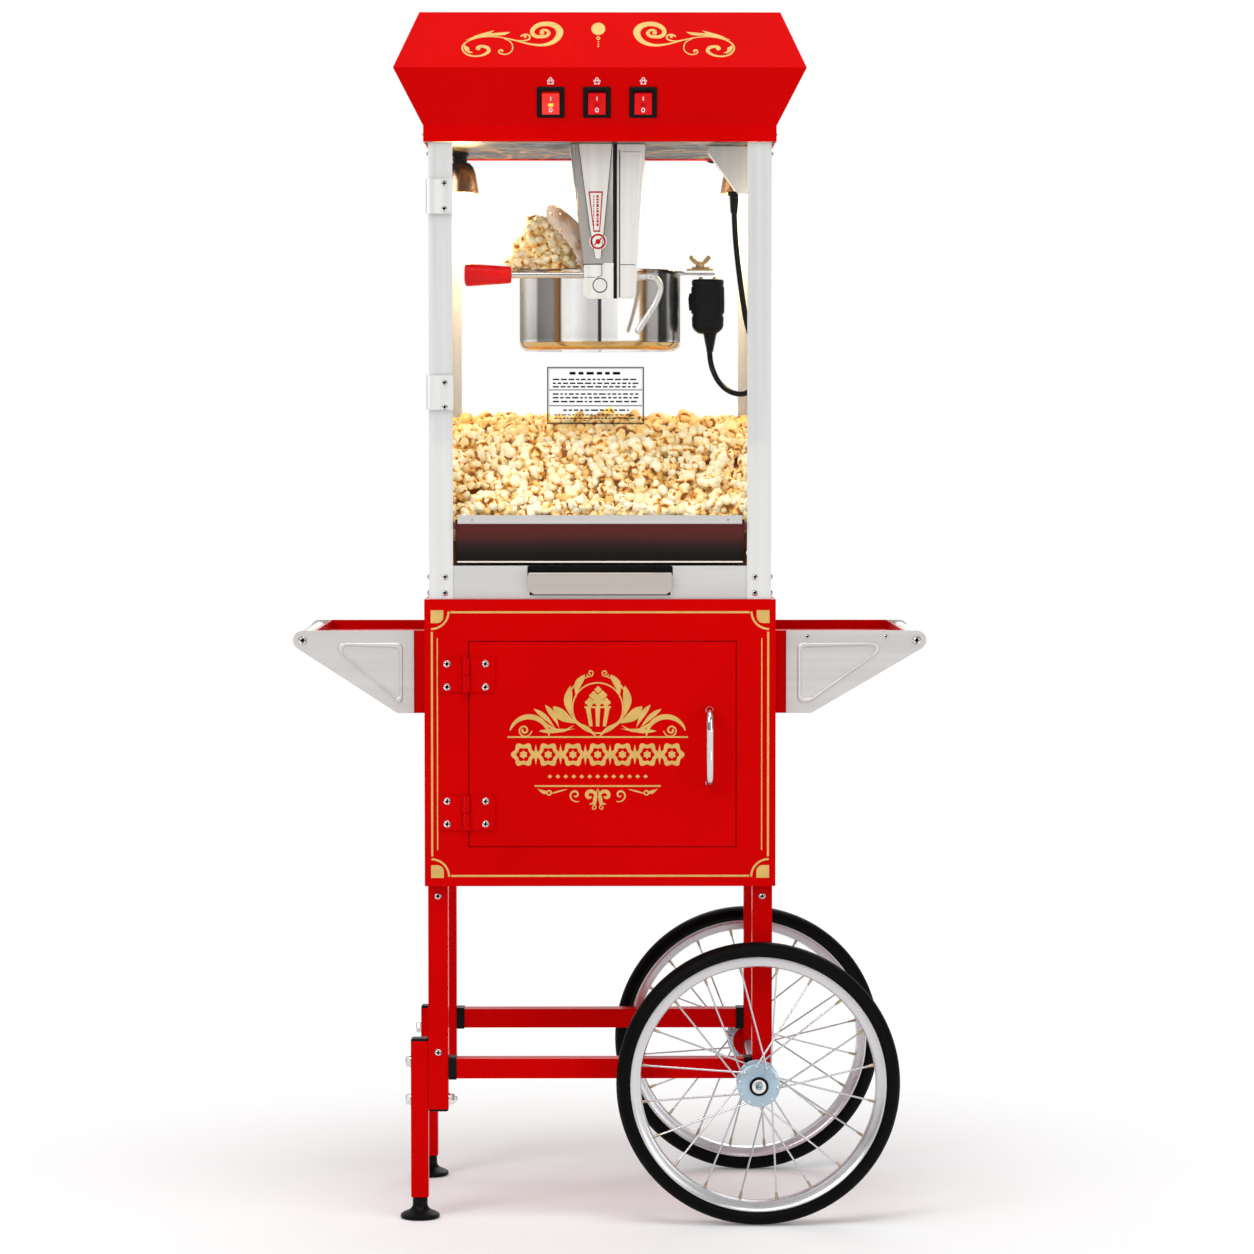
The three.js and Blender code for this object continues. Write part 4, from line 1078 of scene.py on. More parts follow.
def black_caps():
    """Plastic plugs in the open tube ends, and the sleeves between the rails and the legs."""
    form = Form()

    def plug(x, y, z, half, up):
        plane = Plane(at(x, y, z), X_AXIS, Y_AXIS)
        inner = round_rect(0, 0, (half - 1.8) * MM, (half - 1.8) * MM, 0.001)
        outer = round_rect(0, 0, half * MM, half * MM, 0.002)
        rings = [(inner, -up * 0.008), (inner, 0), (outer, 0), (outer, up * 0.0015), (inner, up * 0.0032)]
        form.loft([[plane.at(u, v, h) for u, v in line] for line, h in rings])

    for y, rail_z in ((-LEG_Y, 191.5), (LEG_Y, 212.5)):
        plug(-204, y, 140, 12.5, -1)
        plug(204, y, 150, 12.5, -1)
        plug(-227.8, y, 226, 11, 1)
        for side in (-1, 1):
            plane = Plane(at(side * 191.2, y, rail_z), Y_AXIS, Z_AXIS)
            outer = round_rect(0, 0, 14.2 * MM, 14.2 * MM, 0.003)
            inner = round_rect(0, 0, 12.52 * MM, 12.52 * MM, 0.001)
            form.frame(plane, outer, inner, 0, -side * 0.010)
    form.piece("tube_caps", BLACK, "cart", "black_plastic", 0.0004)


def leg_bolts():
    """Hex bolts through the extensions, the nut of the lower one, and the screws in the legs."""
    form = Form()
    washer = 1.2
    for y in (-LEG_Y, LEG_Y):
        for x, z, out, reach in ((-239, 199, -X_AXIS, 5.5), (-239, 151, -X_AXIS, 5.5), (-191.3, 151, X_AXIS, 6.5)):
            place = at(x, y, z)
            form.lathe([(0, 0), (8.2, 0), (8.2, washer), (0, washer)], place, out, 28)
            hex_head(form, place + out * washer * MM, out, 12.5 * MM, reach * MM)
        form.lathe([(0, 0), (3.6, 0), (3.6, 3.0), (2.8, 3.8), (0, 3.8)], at(-184.3, y, 151), X_AXIS, 16)
    for y in (-LEG_Y, LEG_Y):
        out = Y_AXIS * (-1 if y < 0 else 1)
        for z, x in ((212, -204), (410, -204), (410, 204)):
            place = at(x, y, z) + out * 12.6 * MM
            screw_head(form, place, out, 4.4 * MM)
    form.piece("leg_bolts", BRIGHT_STEEL, "cart", "zinc_plate")


def levelling_foot(end, y):
    """A flared foot, and the thread over it as a row of sharp rings."""
    profile = [(0, 0), (22.5, 0), (24.5, 1.2), (25, 3.2), (24.4, 5.4), (21, 7.6), (15, 10.0), (11.5, 12.6),
               (9.8, 15.5), (9.5, 18), (9.5, 26.8), (8.6, 27.6), (4, 27.7)]
    z = 30
    while z < 60:
        profile += [(4, z), (3.4, z + 0.8)]
        z += 1.6
    profile += [(3.4, 60), (0, 60)]
    form = Form().lathe(profile, at(-227.8, y, 0), Z_AXIS, 48)
    form.piece(f"{end}_foot_moulded", BLACK, f"{end}_levelling_foot", "black_plastic",
               replaces=[f"{end}_foot"])


black_caps()
leg_bolts()
levelling_foot("front", -LEG_Y)
levelling_foot("back", LEG_Y)

# ---------------------------------------------------------------- wheels


def wheel(end, y):
    """Tyre, rim, crossed spokes with their nipples, hub, bearing seals and the nut on the axle."""
    body = f"{end}_wheel"
    centre = at(AXLE_X, y, AXLE_Z)
    out = Y_AXIS * (-1 if y < 0 else 1)
    tread_end = math.radians(82)

    def tread(a):
        return 161.5 + 16.5 * math.cos(a) ** 0.75, 17 * math.sin(a) / math.sin(tread_end)

    tyre = [(161.3, -12), *(tread(tread_end * (i / 6 - 1)) for i in range(13)), (161.3, 12)]
    form = Form()
    form.lathe(tyre, centre, Y_AXIS, 128, closed=True)
    form.piece(f"{end}_tyre_moulded", TYRE_RUBBER, body, "rubber_tyre", replaces=[f"{end}_tyre"])
    ribs = Form()
    for along in (-12.8, -8.2, 8.2, 12.8):
        level, _ = tread(math.asin(along / 17 * math.sin(tread_end)))
        ring = [(level - 1, along - 0.8), (level + 0.1, along - 0.5),
                (level + 0.1, along + 0.5), (level - 1, along + 0.8)]
        ribs.lathe(ring, centre, Y_AXIS, 128, closed=True)
    ribs.piece(f"{end}_tyre_ribs", TYRE_RUBBER, body, "rubber_tyre")

    flank = [(161, 10.6), (160.2, 11.6), (158.6, 11.8), (157.2, 10.8), (155.5, 9.6), (151.5, 9.2),
             (148.6, 8.0), (147, 4.5)]
    rim = [(r, -along) for r, along in flank] + flank[::-1]
    Form().lathe(rim, centre, Y_AXIS, 128, closed=True).piece(
        f"{end}_rim", RIM_METAL, body, "zinc_plate", replaces=[f"{end}_spoked_wheel"])

    spokes, nipples = Form(), Form()
    count = 20
    for i in range(count):
        side = 1 if i % 2 else -1
        lean = math.radians(34) * (1 if (i // 2) % 2 else -1)
        outer = 2 * math.pi * (i + 0.5) / count
        inner = outer + lean

        def spot(radius, turn, along):
            return centre + MM * Vector((radius * math.cos(turn), -side * along, radius * math.sin(turn)))

        start, stop = spot(24, inner, 18), spot(150, outer, 2)
        spokes.tube([start, stop], 1.2 * MM, 10)
        way = (start - stop).normalized()
        nipples.tube([stop + way * along * MM for along in (2.5, 7, 11, 12)],
                     lambda t: (1.9 if t < 0.5 else 1.4) * MM, 12)
        screw = [(0, 1.5), (1.4, 1.3), (2.2, 0.5), (2.4, 0), (0, 0)]
        spokes.lathe(screw, spot(24, inner, 19.7), -Y_AXIS * side, 12)
    spokes.piece(f"{end}_spokes", SPOKE_METAL, body, "zinc_plate")
    nipples.piece(f"{end}_spoke_nipples", NIPPLE_METAL, body, "zinc_plate")

    half_hub = [(6.4, 26), (12.6, 26), (13, 25.4), (13, 20.4), (15, 20), (25.6, 20), (27, 19.2), (27, 17.6),
                (25.8, 17), (13.5, 16.2), (12, 14.6), (11.4, 8)]
    hub = [(r, -along) for r, along in half_hub] + half_hub[::-1]
    Form().lathe(hub, centre, Y_AXIS, 48, closed=True).piece(f"{end}_hub", ZINC, body, "zinc_plate")
    bearings = Form()
    for way in (-1, 1):
        ring = [(7.4, 25.5), (12, 25.5), (12, 26.6), (11.2, 27.2), (8.0, 27.2), (7.4, 26.6)]
        bearings.lathe(ring, centre, Y_AXIS * way, 36, closed=True)
    bearings.piece(f"{end}_bearing_seals", BLACK, body, "black_plastic")
    nuts = Form()
    ring = [(6.2, 27.4), (8.6, 27.4), (8.6, 28.2), (6.2, 28.2)]
    nuts.lathe(ring, centre, out, 32, closed=True)
    hex_head(nuts, centre + out * 26.6 * MM, out, 13 * MM, 2.2 * MM)
    nuts.piece(f"{end}_axle_nut", BRIGHT_STEEL, "cart", "zinc_plate")


def wheel_axle():
    half = 228.8
    profile = [(0, -half), (4.4, -half), (5.8, -half + 1.4), (5.8, half - 1.4), (4.4, half), (0, half)]
    form = Form().lathe(profile, at(AXLE_X, 0, AXLE_Z), Y_AXIS, 28)
    form.piece("axle_rod", ZINC, "cart", "zinc_plate", replaces=["axle"])


wheel("front", -WHEEL_Y)
wheel("back", WHEEL_Y)
wheel_axle()

# ---------------------------------------------------------------- popper base, posts and doors


def post_screws():
    form = Form()
    for x in (-194, 194):
        for z in (812, 792):
            screw_head(form, at(x, -175.2, z), -Y_AXIS, 4.0 * MM)
    for side in (-1, 1):
        for y in (-160, 160):
            for z in (812, 792, 1340):
                screw_head(form, at(side * 214.2, y, z), X_AXIS * side, 4.0 * MM)
    for x in (-194, 194):
        for z in (812, 792, 1340):
            screw_head(form, at(x, 175.2, z), Y_AXIS, 4.0 * MM)
    form.piece("post_screws", BRIGHT_STEEL, "cart", "zinc_plate")
    doors = Form()
    for z in (1302.5, 1271.2, 1054.6, 1024.5):
        screw_head(doors, at(-194, -181.0, z), -Y_AXIS, 3.9 * MM)
    doors.piece("glass_hinge_screws", BRIGHT_STEEL, "glass_door", "zinc_plate")


def glass_label():
    """A printed box on the glass with three rows, whose marks are plain dashes."""
    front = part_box("glass_door")[0].y
    plane = Plane(Vector((MIDDLE, front, 0)), X_AXIS, Z_AXIS)
    form = Form()
    left, right, top, bottom = -66, 55, 1074.5, 1003
    centre = ((left + right) / 2, (top + bottom) / 2)

    def outline(inset):
        return mm(round_rect(*centre, (right - left) / 2 - inset, (top - bottom) / 2 - inset, 1.2, 3))

    form.band(plane, outline(0), outline(1.3), 0.0002)
    form.band(plane, outline(2.0), outline(2.5), 0.0002)
    for z in (1045.75, 1026):
        form.ribbon(plane, mm([(left + 2, z), (right - 2, z)]), 1.1 * MM, 0.0002)
    draw = random.Random(4)

    def dashes(start, stop, z, height):
        u = start
        while u < stop - 2:
            long = min(draw.uniform(3, 9) * height / 2, stop - u)
            form.ribbon(plane, mm([(u, z), (u + long, z)]), height * MM, 0.0002)
            u += long + 1.1 * height

    dashes(-38, 28, 1066.5, 3.4)
    for z in (1058.8, 1054.0, 1049.6, 1040.6, 1036.0, 1031.2):
        dashes(left + 7, right - 7, z, 1.9)
    dashes(-46, 36, 1020.5, 2.0)
    for z in (1014.6, 1010.4):
        dashes(left + 9, right - 12, z, 1.4)
    form.piece("glass_door_label", BLACK_PRINT, "glass_door")


def serving_flap():
    """A tinted curved panel with wings, the bright strip along its top, and the rail along its foot painted pale
    as a painted highlight.
    """
    half, pivot_y, pivot_z, top, lean, thick = 181, -166, 830, 884, 12, 2.5
    rows = 16
    outer, inner = [], []
    for i in range(rows + 1):
        t = i / rows
        y, z = pivot_y - lean * t * t, pivot_z + (top - pivot_z) * t
        outer.append((y, z))
        inner.insert(0, (y + thick, z))
    form = Form()
    form.loft([[at(x, y, z) for y, z in outer + inner] for x in (-half, half)])
    for side in (-1, 1):
        cheek = [(pivot_y + 1, pivot_z)]
        for i in range(13):
            a = i / 12 * (math.pi / 2) + 0.1
            cheek.append((pivot_y + 1 + 58 * math.cos(a) * 0.7, pivot_z + 52 * math.sin(a)))
        form.loft([[at(x, y, z) for y, z in cheek] for x in (side * (half - 2), side * half)])
    panel = form.piece("serving_flap_panel", TINTED, "serving_flap", "tinted_acrylic", 0.0005,
                       ["serving_flap"])
    strips = Form()
    edge = [(-181.2, 879.0), (-180.2, 878.4), (-179.6, 888.2), (-174.0, 888.2),
            (-174.0, 889.4), (-180.4, 889.4)]
    strips.loft([[at(x, y, z) for y, z in edge] for x in (-178, 177.5)])
    for x in (-160, 160):
        screw_head(strips, at(x, -181.0, 883.5), -Y_AXIS, 1.6 * MM)
    strips.piece("serving_flap_strips", ALUMINIUM_ACROSS, "serving_flap", "brushed_aluminium", 0.0003)
    lugs = Form()
    for side in (-1, 1):
        lug = [(-180.4, 872.5), (-177.0, 871.5), (-174.0, 880.5), (-179.5, 880.5)]
        lugs.loft([[at(x, y, z) for y, z in lug] for x in (side * 179.5, side * 183.6)])
    rail = [(-169.4, 829.8), (-168.0, 829.4), (-166.6, 830.4), (-166.6, 832.0), (-168.0, 831.8)]
    foot = Form().loft([[at(x, y, z) for y, z in rail] for x in (-179, 179)])
    # Painted highlight: the tinted rail at the foot takes a pale steel colour for the light line along it.
    foot.piece("serving_flap_foot_rail", SHADE_AND_HIGHLIGHT_STEEL, "serving_flap", "tinted_acrylic", 0.0003)
    lugs = lugs.piece("serving_flap_lugs", TINTED, "serving_flap", "tinted_acrylic", 0.0005)
    # rise runs from 0 at the pivot to 1 at the top, and drives the tinted sheet's painted shade.
    for tinted in (panel, lugs):
        mark(tinted, "rise", lambda p: (p.z / MM - pivot_z) / (top - pivot_z))


def kernel_drawer():
    """The drawer's pan, its leaning lip with chamfered lower corners, and over it a black strip as the painted
    shadow of the gap.
    """
    front, back, half, floor, top = -176, 60, 84, 792, 814
    form = Form()
    form.block(at(-half, front, floor), at(half, back, floor + 1.5))
    for side in (-1, 1):
        form.block(at(side * half, front, floor), at(side * (half - 1.5), back, top))
    form.block(at(-half, back - 1.5, floor), at(half, back, top))
    form.piece("drawer_pan", ALUMINIUM_ACROSS, "kernel_drawer", "brushed_aluminium",
               replaces=["kernel_drawer"])
    slope = Plane(at(0, -177.6, 790.5), X_AXIS, Vector((0, -8.0, 27.5)))
    outline = rounded([(-83, 0), (83, 0), (90, 5.5), (90, 27.5), (-90, 27.5), (-90, 5.5)], 2.2, 5)
    lip = Form().slab(slope, mm(outline), 0.0, 0.0016)
    # The lip and its roll take the darker steel, as painted shade.
    lip.piece("drawer_lip", SHADE_AND_HIGHLIGHT_STEEL, "kernel_drawer", "brushed_aluminium", 0.0005)
    roll = Form().tube([at(-88.5, -185.2, 816.2), at(88.5, -185.2, 816.2)], 1.7 * MM, 16, round_ends=True)
    roll.piece("drawer_lip_roll", SHADE_AND_HIGHLIGHT_STEEL, "kernel_drawer", "brushed_aluminium")
    # Painted shadow: a thin black strip at the front of the base frame stands for the shade in the gap over the
    # drawer.
    shade = Plane(at(0, -173.3, 0), X_AXIS, Z_AXIS)
    slit = rounded([(-91, 812.5), (91, 812.5), (91, 826.4), (-91, 826.4)], 3.0, 5)
    gap = Form().slab(shade, mm(slit), 0.0, 0.0008)
    gap.piece("drawer_gap_painted_shadow", BLACK, "cart", "black_plastic")


post_screws()
glass_label()
serving_flap()
kernel_drawer()

# ---------------------------------------------------------------- canopy: ornament, switches, inlet

UPPER_SLOPE = Plane(at(0, -215.7, 1443), X_AXIS, Vector((0, 31.5, 71)))
LOWER_SLOPE = Plane(at(0, -180, 1374), X_AXIS, Vector((0, -35.7, 69)))
SWITCH_TILT = math.atan2(35.7, 69)
SWITCH_X = (-61.1, -3.7, 53.7)
SWITCH_Z = 1402
SWITCHES = tuple(zip(("heat", "motor", "lamp"), SWITCH_X))

# the scroll's lines and the width of the stroke at each of their points, in millimetres
BIG_CURL = [(101.0, 37.2), (85.1, 32.6), (69.8, 31.1), (57.4, 34.6), (50.1, 41.6), (47.8, 50.2),
            (52.2, 57.2), (59.2, 60.4), (67.6, 60.9), (75.9, 58.2), (81.3, 52.6), (81.4, 47.2),
            (77.4, 43.6), (70.6, 42.9), (64.5, 43.9), (61.3, 47.6), (63.1, 51.2), (68.0, 52.6),
            (72.0, 50.6)]
BIG_CURL_WIDTHS = [1.8, 2.3, 3.3, 5.2, 7.3, 8.8, 7.6, 6.4, 6.1, 5.8, 5.5, 5.2, 4.6, 4.3, 4.0, 4.3,
                   3.3, 2.7, 2.4]
OUTER_STEM = [(101.0, 37.2), (112.5, 40.2), (124.6, 42.6), (136.8, 43.1), (149.0, 41.4),
              (159.6, 37.6), (166.6, 31.9), (168.2, 26.4), (165.1, 20.3), (158.1, 16.3),
              (149.0, 15.6), (140.6, 18.1), (135.3, 23.1), (137.1, 27.2), (142.9, 29.2),
              (148.2, 28.9), (150.5, 26.3), (147.8, 24.3)]
OUTER_STEM_WIDTHS = [1.8, 1.4, 1.4, 1.4, 1.4, 1.5, 1.8, 2.0, 2.1, 2.1, 2.1, 3.0, 4.3, 4.3, 3.7, 3.0, 2.1, 1.5]
SMALL_CURL = [(102.6, 37.7), (92.7, 37.1), (85.8, 39.6), (84.8, 43.1), (87.5, 45.6),
              (92.4, 45.6), (96.0, 43.2)]
SMALL_CURL_WIDTHS = [1.2, 1.5, 1.8, 2.0, 2.0, 2.0, 2.1]
TENDRIL = [(116.3, 40.2), (108.7, 35.6), (105.9, 28.9), (107.3, 22.6), (112.5, 18.6),
           (119.3, 18.6), (123.1, 21.4), (121.3, 24.3), (118.2, 23.6)]
TENDRIL_WIDTHS = [1.2, 1.4, 1.4, 1.4, 1.4, 1.5, 1.7, 1.7, 2.1]
LONG_LEAF = [(108.7, 49.7), (118.5, 48.9), (130.7, 47.9), (144.4, 45.2), (155.1, 42.6),
             (164.5, 37.9), (152.0, 41.1), (136.8, 44.2), (124.6, 44.6), (115.5, 45.6)]
SHORT_LEAF = [(128.9, 51.9), (136.8, 49.6), (145.9, 46.9), (155.8, 42.9), (144.4, 44.4),
              (134.5, 46.9)]
BUD_LEAF = [(154.8, 20.3), (159.6, 22.9), (159.9, 27.2), (165.7, 31.2), (166.6, 27.2),
            (163.9, 22.6), (159.6, 19.9)]


def canopy_scrolls():
    """Two mirrored acanthus scrolls and a round drop between them."""
    form = Form()
    middle = -2.0
    for way in (1, -1):
        def place(line):
            return mm([(middle + way * u, v) for u, v in line])

        for line, widths in ((BIG_CURL, BIG_CURL_WIDTHS), (OUTER_STEM, OUTER_STEM_WIDTHS),
                             (SMALL_CURL, SMALL_CURL_WIDTHS), (TENDRIL, TENDRIL_WIDTHS)):
            form.ribbon(UPPER_SLOPE, place(curve(line, 8)), between(widths))
        for outline in (LONG_LEAF, SHORT_LEAF, BUD_LEAF):
            form.print(UPPER_SLOPE, place(outline))
        for u, v, size in ((69.8, 48.6, 2.9), (90.5, 42.9, 1.8), (118.8, 22.9, 1.5), (147.8, 26.3, 2.0)):
            form.print(UPPER_SLOPE, place(circle(u, v, size, 20)))
    form.print(UPPER_SLOPE, mm(circle(middle, 54, 8.6, 40)))
    form.band(UPPER_SLOPE, mm(circle(middle, 41, 2.4, 16)), mm(circle(middle, 41, 1.2, 16)))
    for v, r in ((36, 0.9), (32.6, 0.8), (29.6, 1.1)):
        form.print(UPPER_SLOPE, mm(circle(middle, v, r, 12)))
    form.piece("canopy_scrolls", GOLD, "cart")


def switches():
    """A bezel round each rocker, and under it a mark of three small rings over a boat shape."""
    bezels, icons = Form(), Form()
    v = (SWITCH_Z - 1374) / math.cos(SWITCH_TILT)
    rings = [(17.2, 20.6, 2.0, 0.0001), (17.2, 20.6, 2.0, 0.0012), (16.2, 19.6, 1.6, 0.0024),
             (11.6, 15.6, 0.8, 0.0024), (11.6, 15.6, 0.8, -0.006), (11.7, 15.7, 0.8, -0.006),
             (11.75, 15.75, 0.8, 0.0001)]
    for k, (_, x) in enumerate(SWITCHES):
        half = 4.2 - k * 0.6
        bezels.loft([[LOWER_SLOPE.at(a, b, h) for a, b in mm(round_rect(x, v, half_u, half_v, radius, 4))]
                     for half_u, half_v, radius, h in rings], closed=True)
        for du, dv, r in ((0, 31, 2.1), (-2.6, 28.2, 1.7), (2.6, 28.2, 1.7)):
            icons.band(LOWER_SLOPE, mm(circle(x + du, v + dv, r, 16)), mm(circle(x + du, v + dv, r - 0.7, 16)))
        icons.ribbon(LOWER_SLOPE, mm([(x - half, v + 24.4), (x + half, v + 24.4)]), 0.8 * MM)
        for way in (-1, 1):
            icons.ribbon(LOWER_SLOPE, mm([(x + way * 2.0, v + 26), (x + way * 3.4, v + 24.4)]), 0.7 * MM)
    bezels.piece("switch_bezels", BLACK, "cart", "black_plastic", 0.0003)
    icons.piece("switch_icons", WHITE_PRINT, "cart")


ROCKER_REST = math.radians(8)


def rocker_faces(x, y_mid, z_mid):
    """The two faces of a rocker, each a plane through its upper or lower half."""
    tilt = SWITCH_TILT + ROCKER_REST
    up = Vector((0, -math.sin(tilt), math.cos(tilt)))
    out = Vector((0, -math.cos(tilt), -math.sin(tilt)))
    spine = at(x, y_mid, z_mid) + out * 2.5 * MM
    faces = []
    for way in (1, -1):
        edge = at(x, y_mid, z_mid) + out * 5 * MM + up * way * 14.8 * MM
        v = (edge - spine) * way
        faces.append(Plane(spine, X_AXIS, v))
    return faces


def rockers():
    y_mid = -(180 + 35.7 * (SWITCH_Z - 1374) / 69)
    for word, x in SWITCHES:
        lit = word == "heat"
        dress(f"{word}_switch_rocker", LIT_RED if lit else RED_PLASTIC, 0.0005)
        upper, lower = rocker_faces(x, y_mid, SWITCH_Z)
        marks = Form()
        marks.ribbon(upper, mm([(0, 4.5), (0, 10.5)]), 1.2 * MM)
        marks.band(lower, mm(oval(0, -9, 2.3, 3.1)), mm(oval(0, -9, 1.3, 2.1)))
        marks.piece(f"{word}_switch_marks", WHITE_PRINT, f"{word}_switch")
        glow = Form()
        glow.print(lower, mm(round_rect(0, -2.4, 3.2, 2.0, 0.5, 3)))
        glow.piece(f"{word}_switch_window", LIT_AMBER if lit else RED_PRINT, f"{word}_switch")


def canopy_fittings():
    """The mains inlet at the back, and the screws round the canopy's skirt."""
    inlet = Form()
    z = 1364
    profile = [(8.2, 0.2), (13, 0.2), (13, 1.8), (11.6, 3.0), (8.4, 3.0), (8.2, 2.6)]
    inlet.lathe(profile, at(150, 180, z), Y_AXIS, 32, closed=True)
    inlet.lathe([(0, 11.9), (4, 11.9), (4, 12.4), (0, 12.4)], at(150, 180, z), Y_AXIS, 24)
    inlet.piece("mains_inlet_ring", BLACK, "cart", "black_plastic", 0.0004)
    screws = Form()
    for side in (-1, 1):
        for y in (-150, 0, 150):
            screw_head(screws, at(side * 220.2, y, 1365), X_AXIS * side, 3.4 * MM)
    for x in (-190, 0, 190):
        screw_head(screws, at(x, 180.2, 1365), Y_AXIS, 3.4 * MM)
    screws.piece("canopy_screws", BRIGHT_STEEL, "cart", "zinc_plate")


canopy_scrolls()
switches()
rockers()
canopy_fittings()

# ---------------------------------------------------------------- lamps


def lamp(word, side):
    """A copper shade, its socket and bulb, and a warm light under them."""
    socket_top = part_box(f"{word}_lamp")[1].z / MM
    place = at(side * 182, 60, 0)
    shade = [(9.2, 1344), (12.5, 1343), (17, 1338), (20.5, 1330), (22.6, 1320), (24.2, 1310),
             (25, 1304), (24.3, 1304), (23.4, 1310), (21.8, 1320), (19.7, 1330), (16.4, 1337),
             (12.2, 1341.6), (9.2, 1342)]
    Form().lathe(shade, place, Z_AXIS, 48, closed=True).piece(
        f"{word}_lamp_shade", COPPER, "cart", "brushed_aluminium", replaces=[f"{word}_lamp"])
    socket = [(0, socket_top), (11, socket_top), (11, 1352), (9, 1351), (9, 1341.8), (0, 1341.8)]
    Form().lathe(socket, place, Z_AXIS, 32).piece(f"{word}_lamp_socket", BLACK, "cart", "black_plastic")
    bulb = [(0, 1298), (5, 1298.8), (9.5, 1301.4), (12.4, 1305.5), (13.4, 1310.5), (12.2, 1317), (9.4, 1324),
            (7.2, 1331), (6.8, 1341.5), (0, 1341.5)]
    Form().lathe(bulb, place, Z_AXIS, 36).piece(f"{word}_lamp_bulb", BULB, "cart")
    data = bpy.data.lights.new(f"{word}_lamp_light", "POINT")
    data.energy = 2.6
    data.shadow_soft_size = 0.02
    data.color = (1.0, 0.72, 0.36)
    light = bpy.data.objects.new(f"{word}_lamp_light", data)
    light.location = at(side * 182, 60, 1288)
    bpy.context.scene.collection.objects.link(light)


lamp("left", -1)
lamp("right", 1)

# ---------------------------------------------------------------- kettle hanger


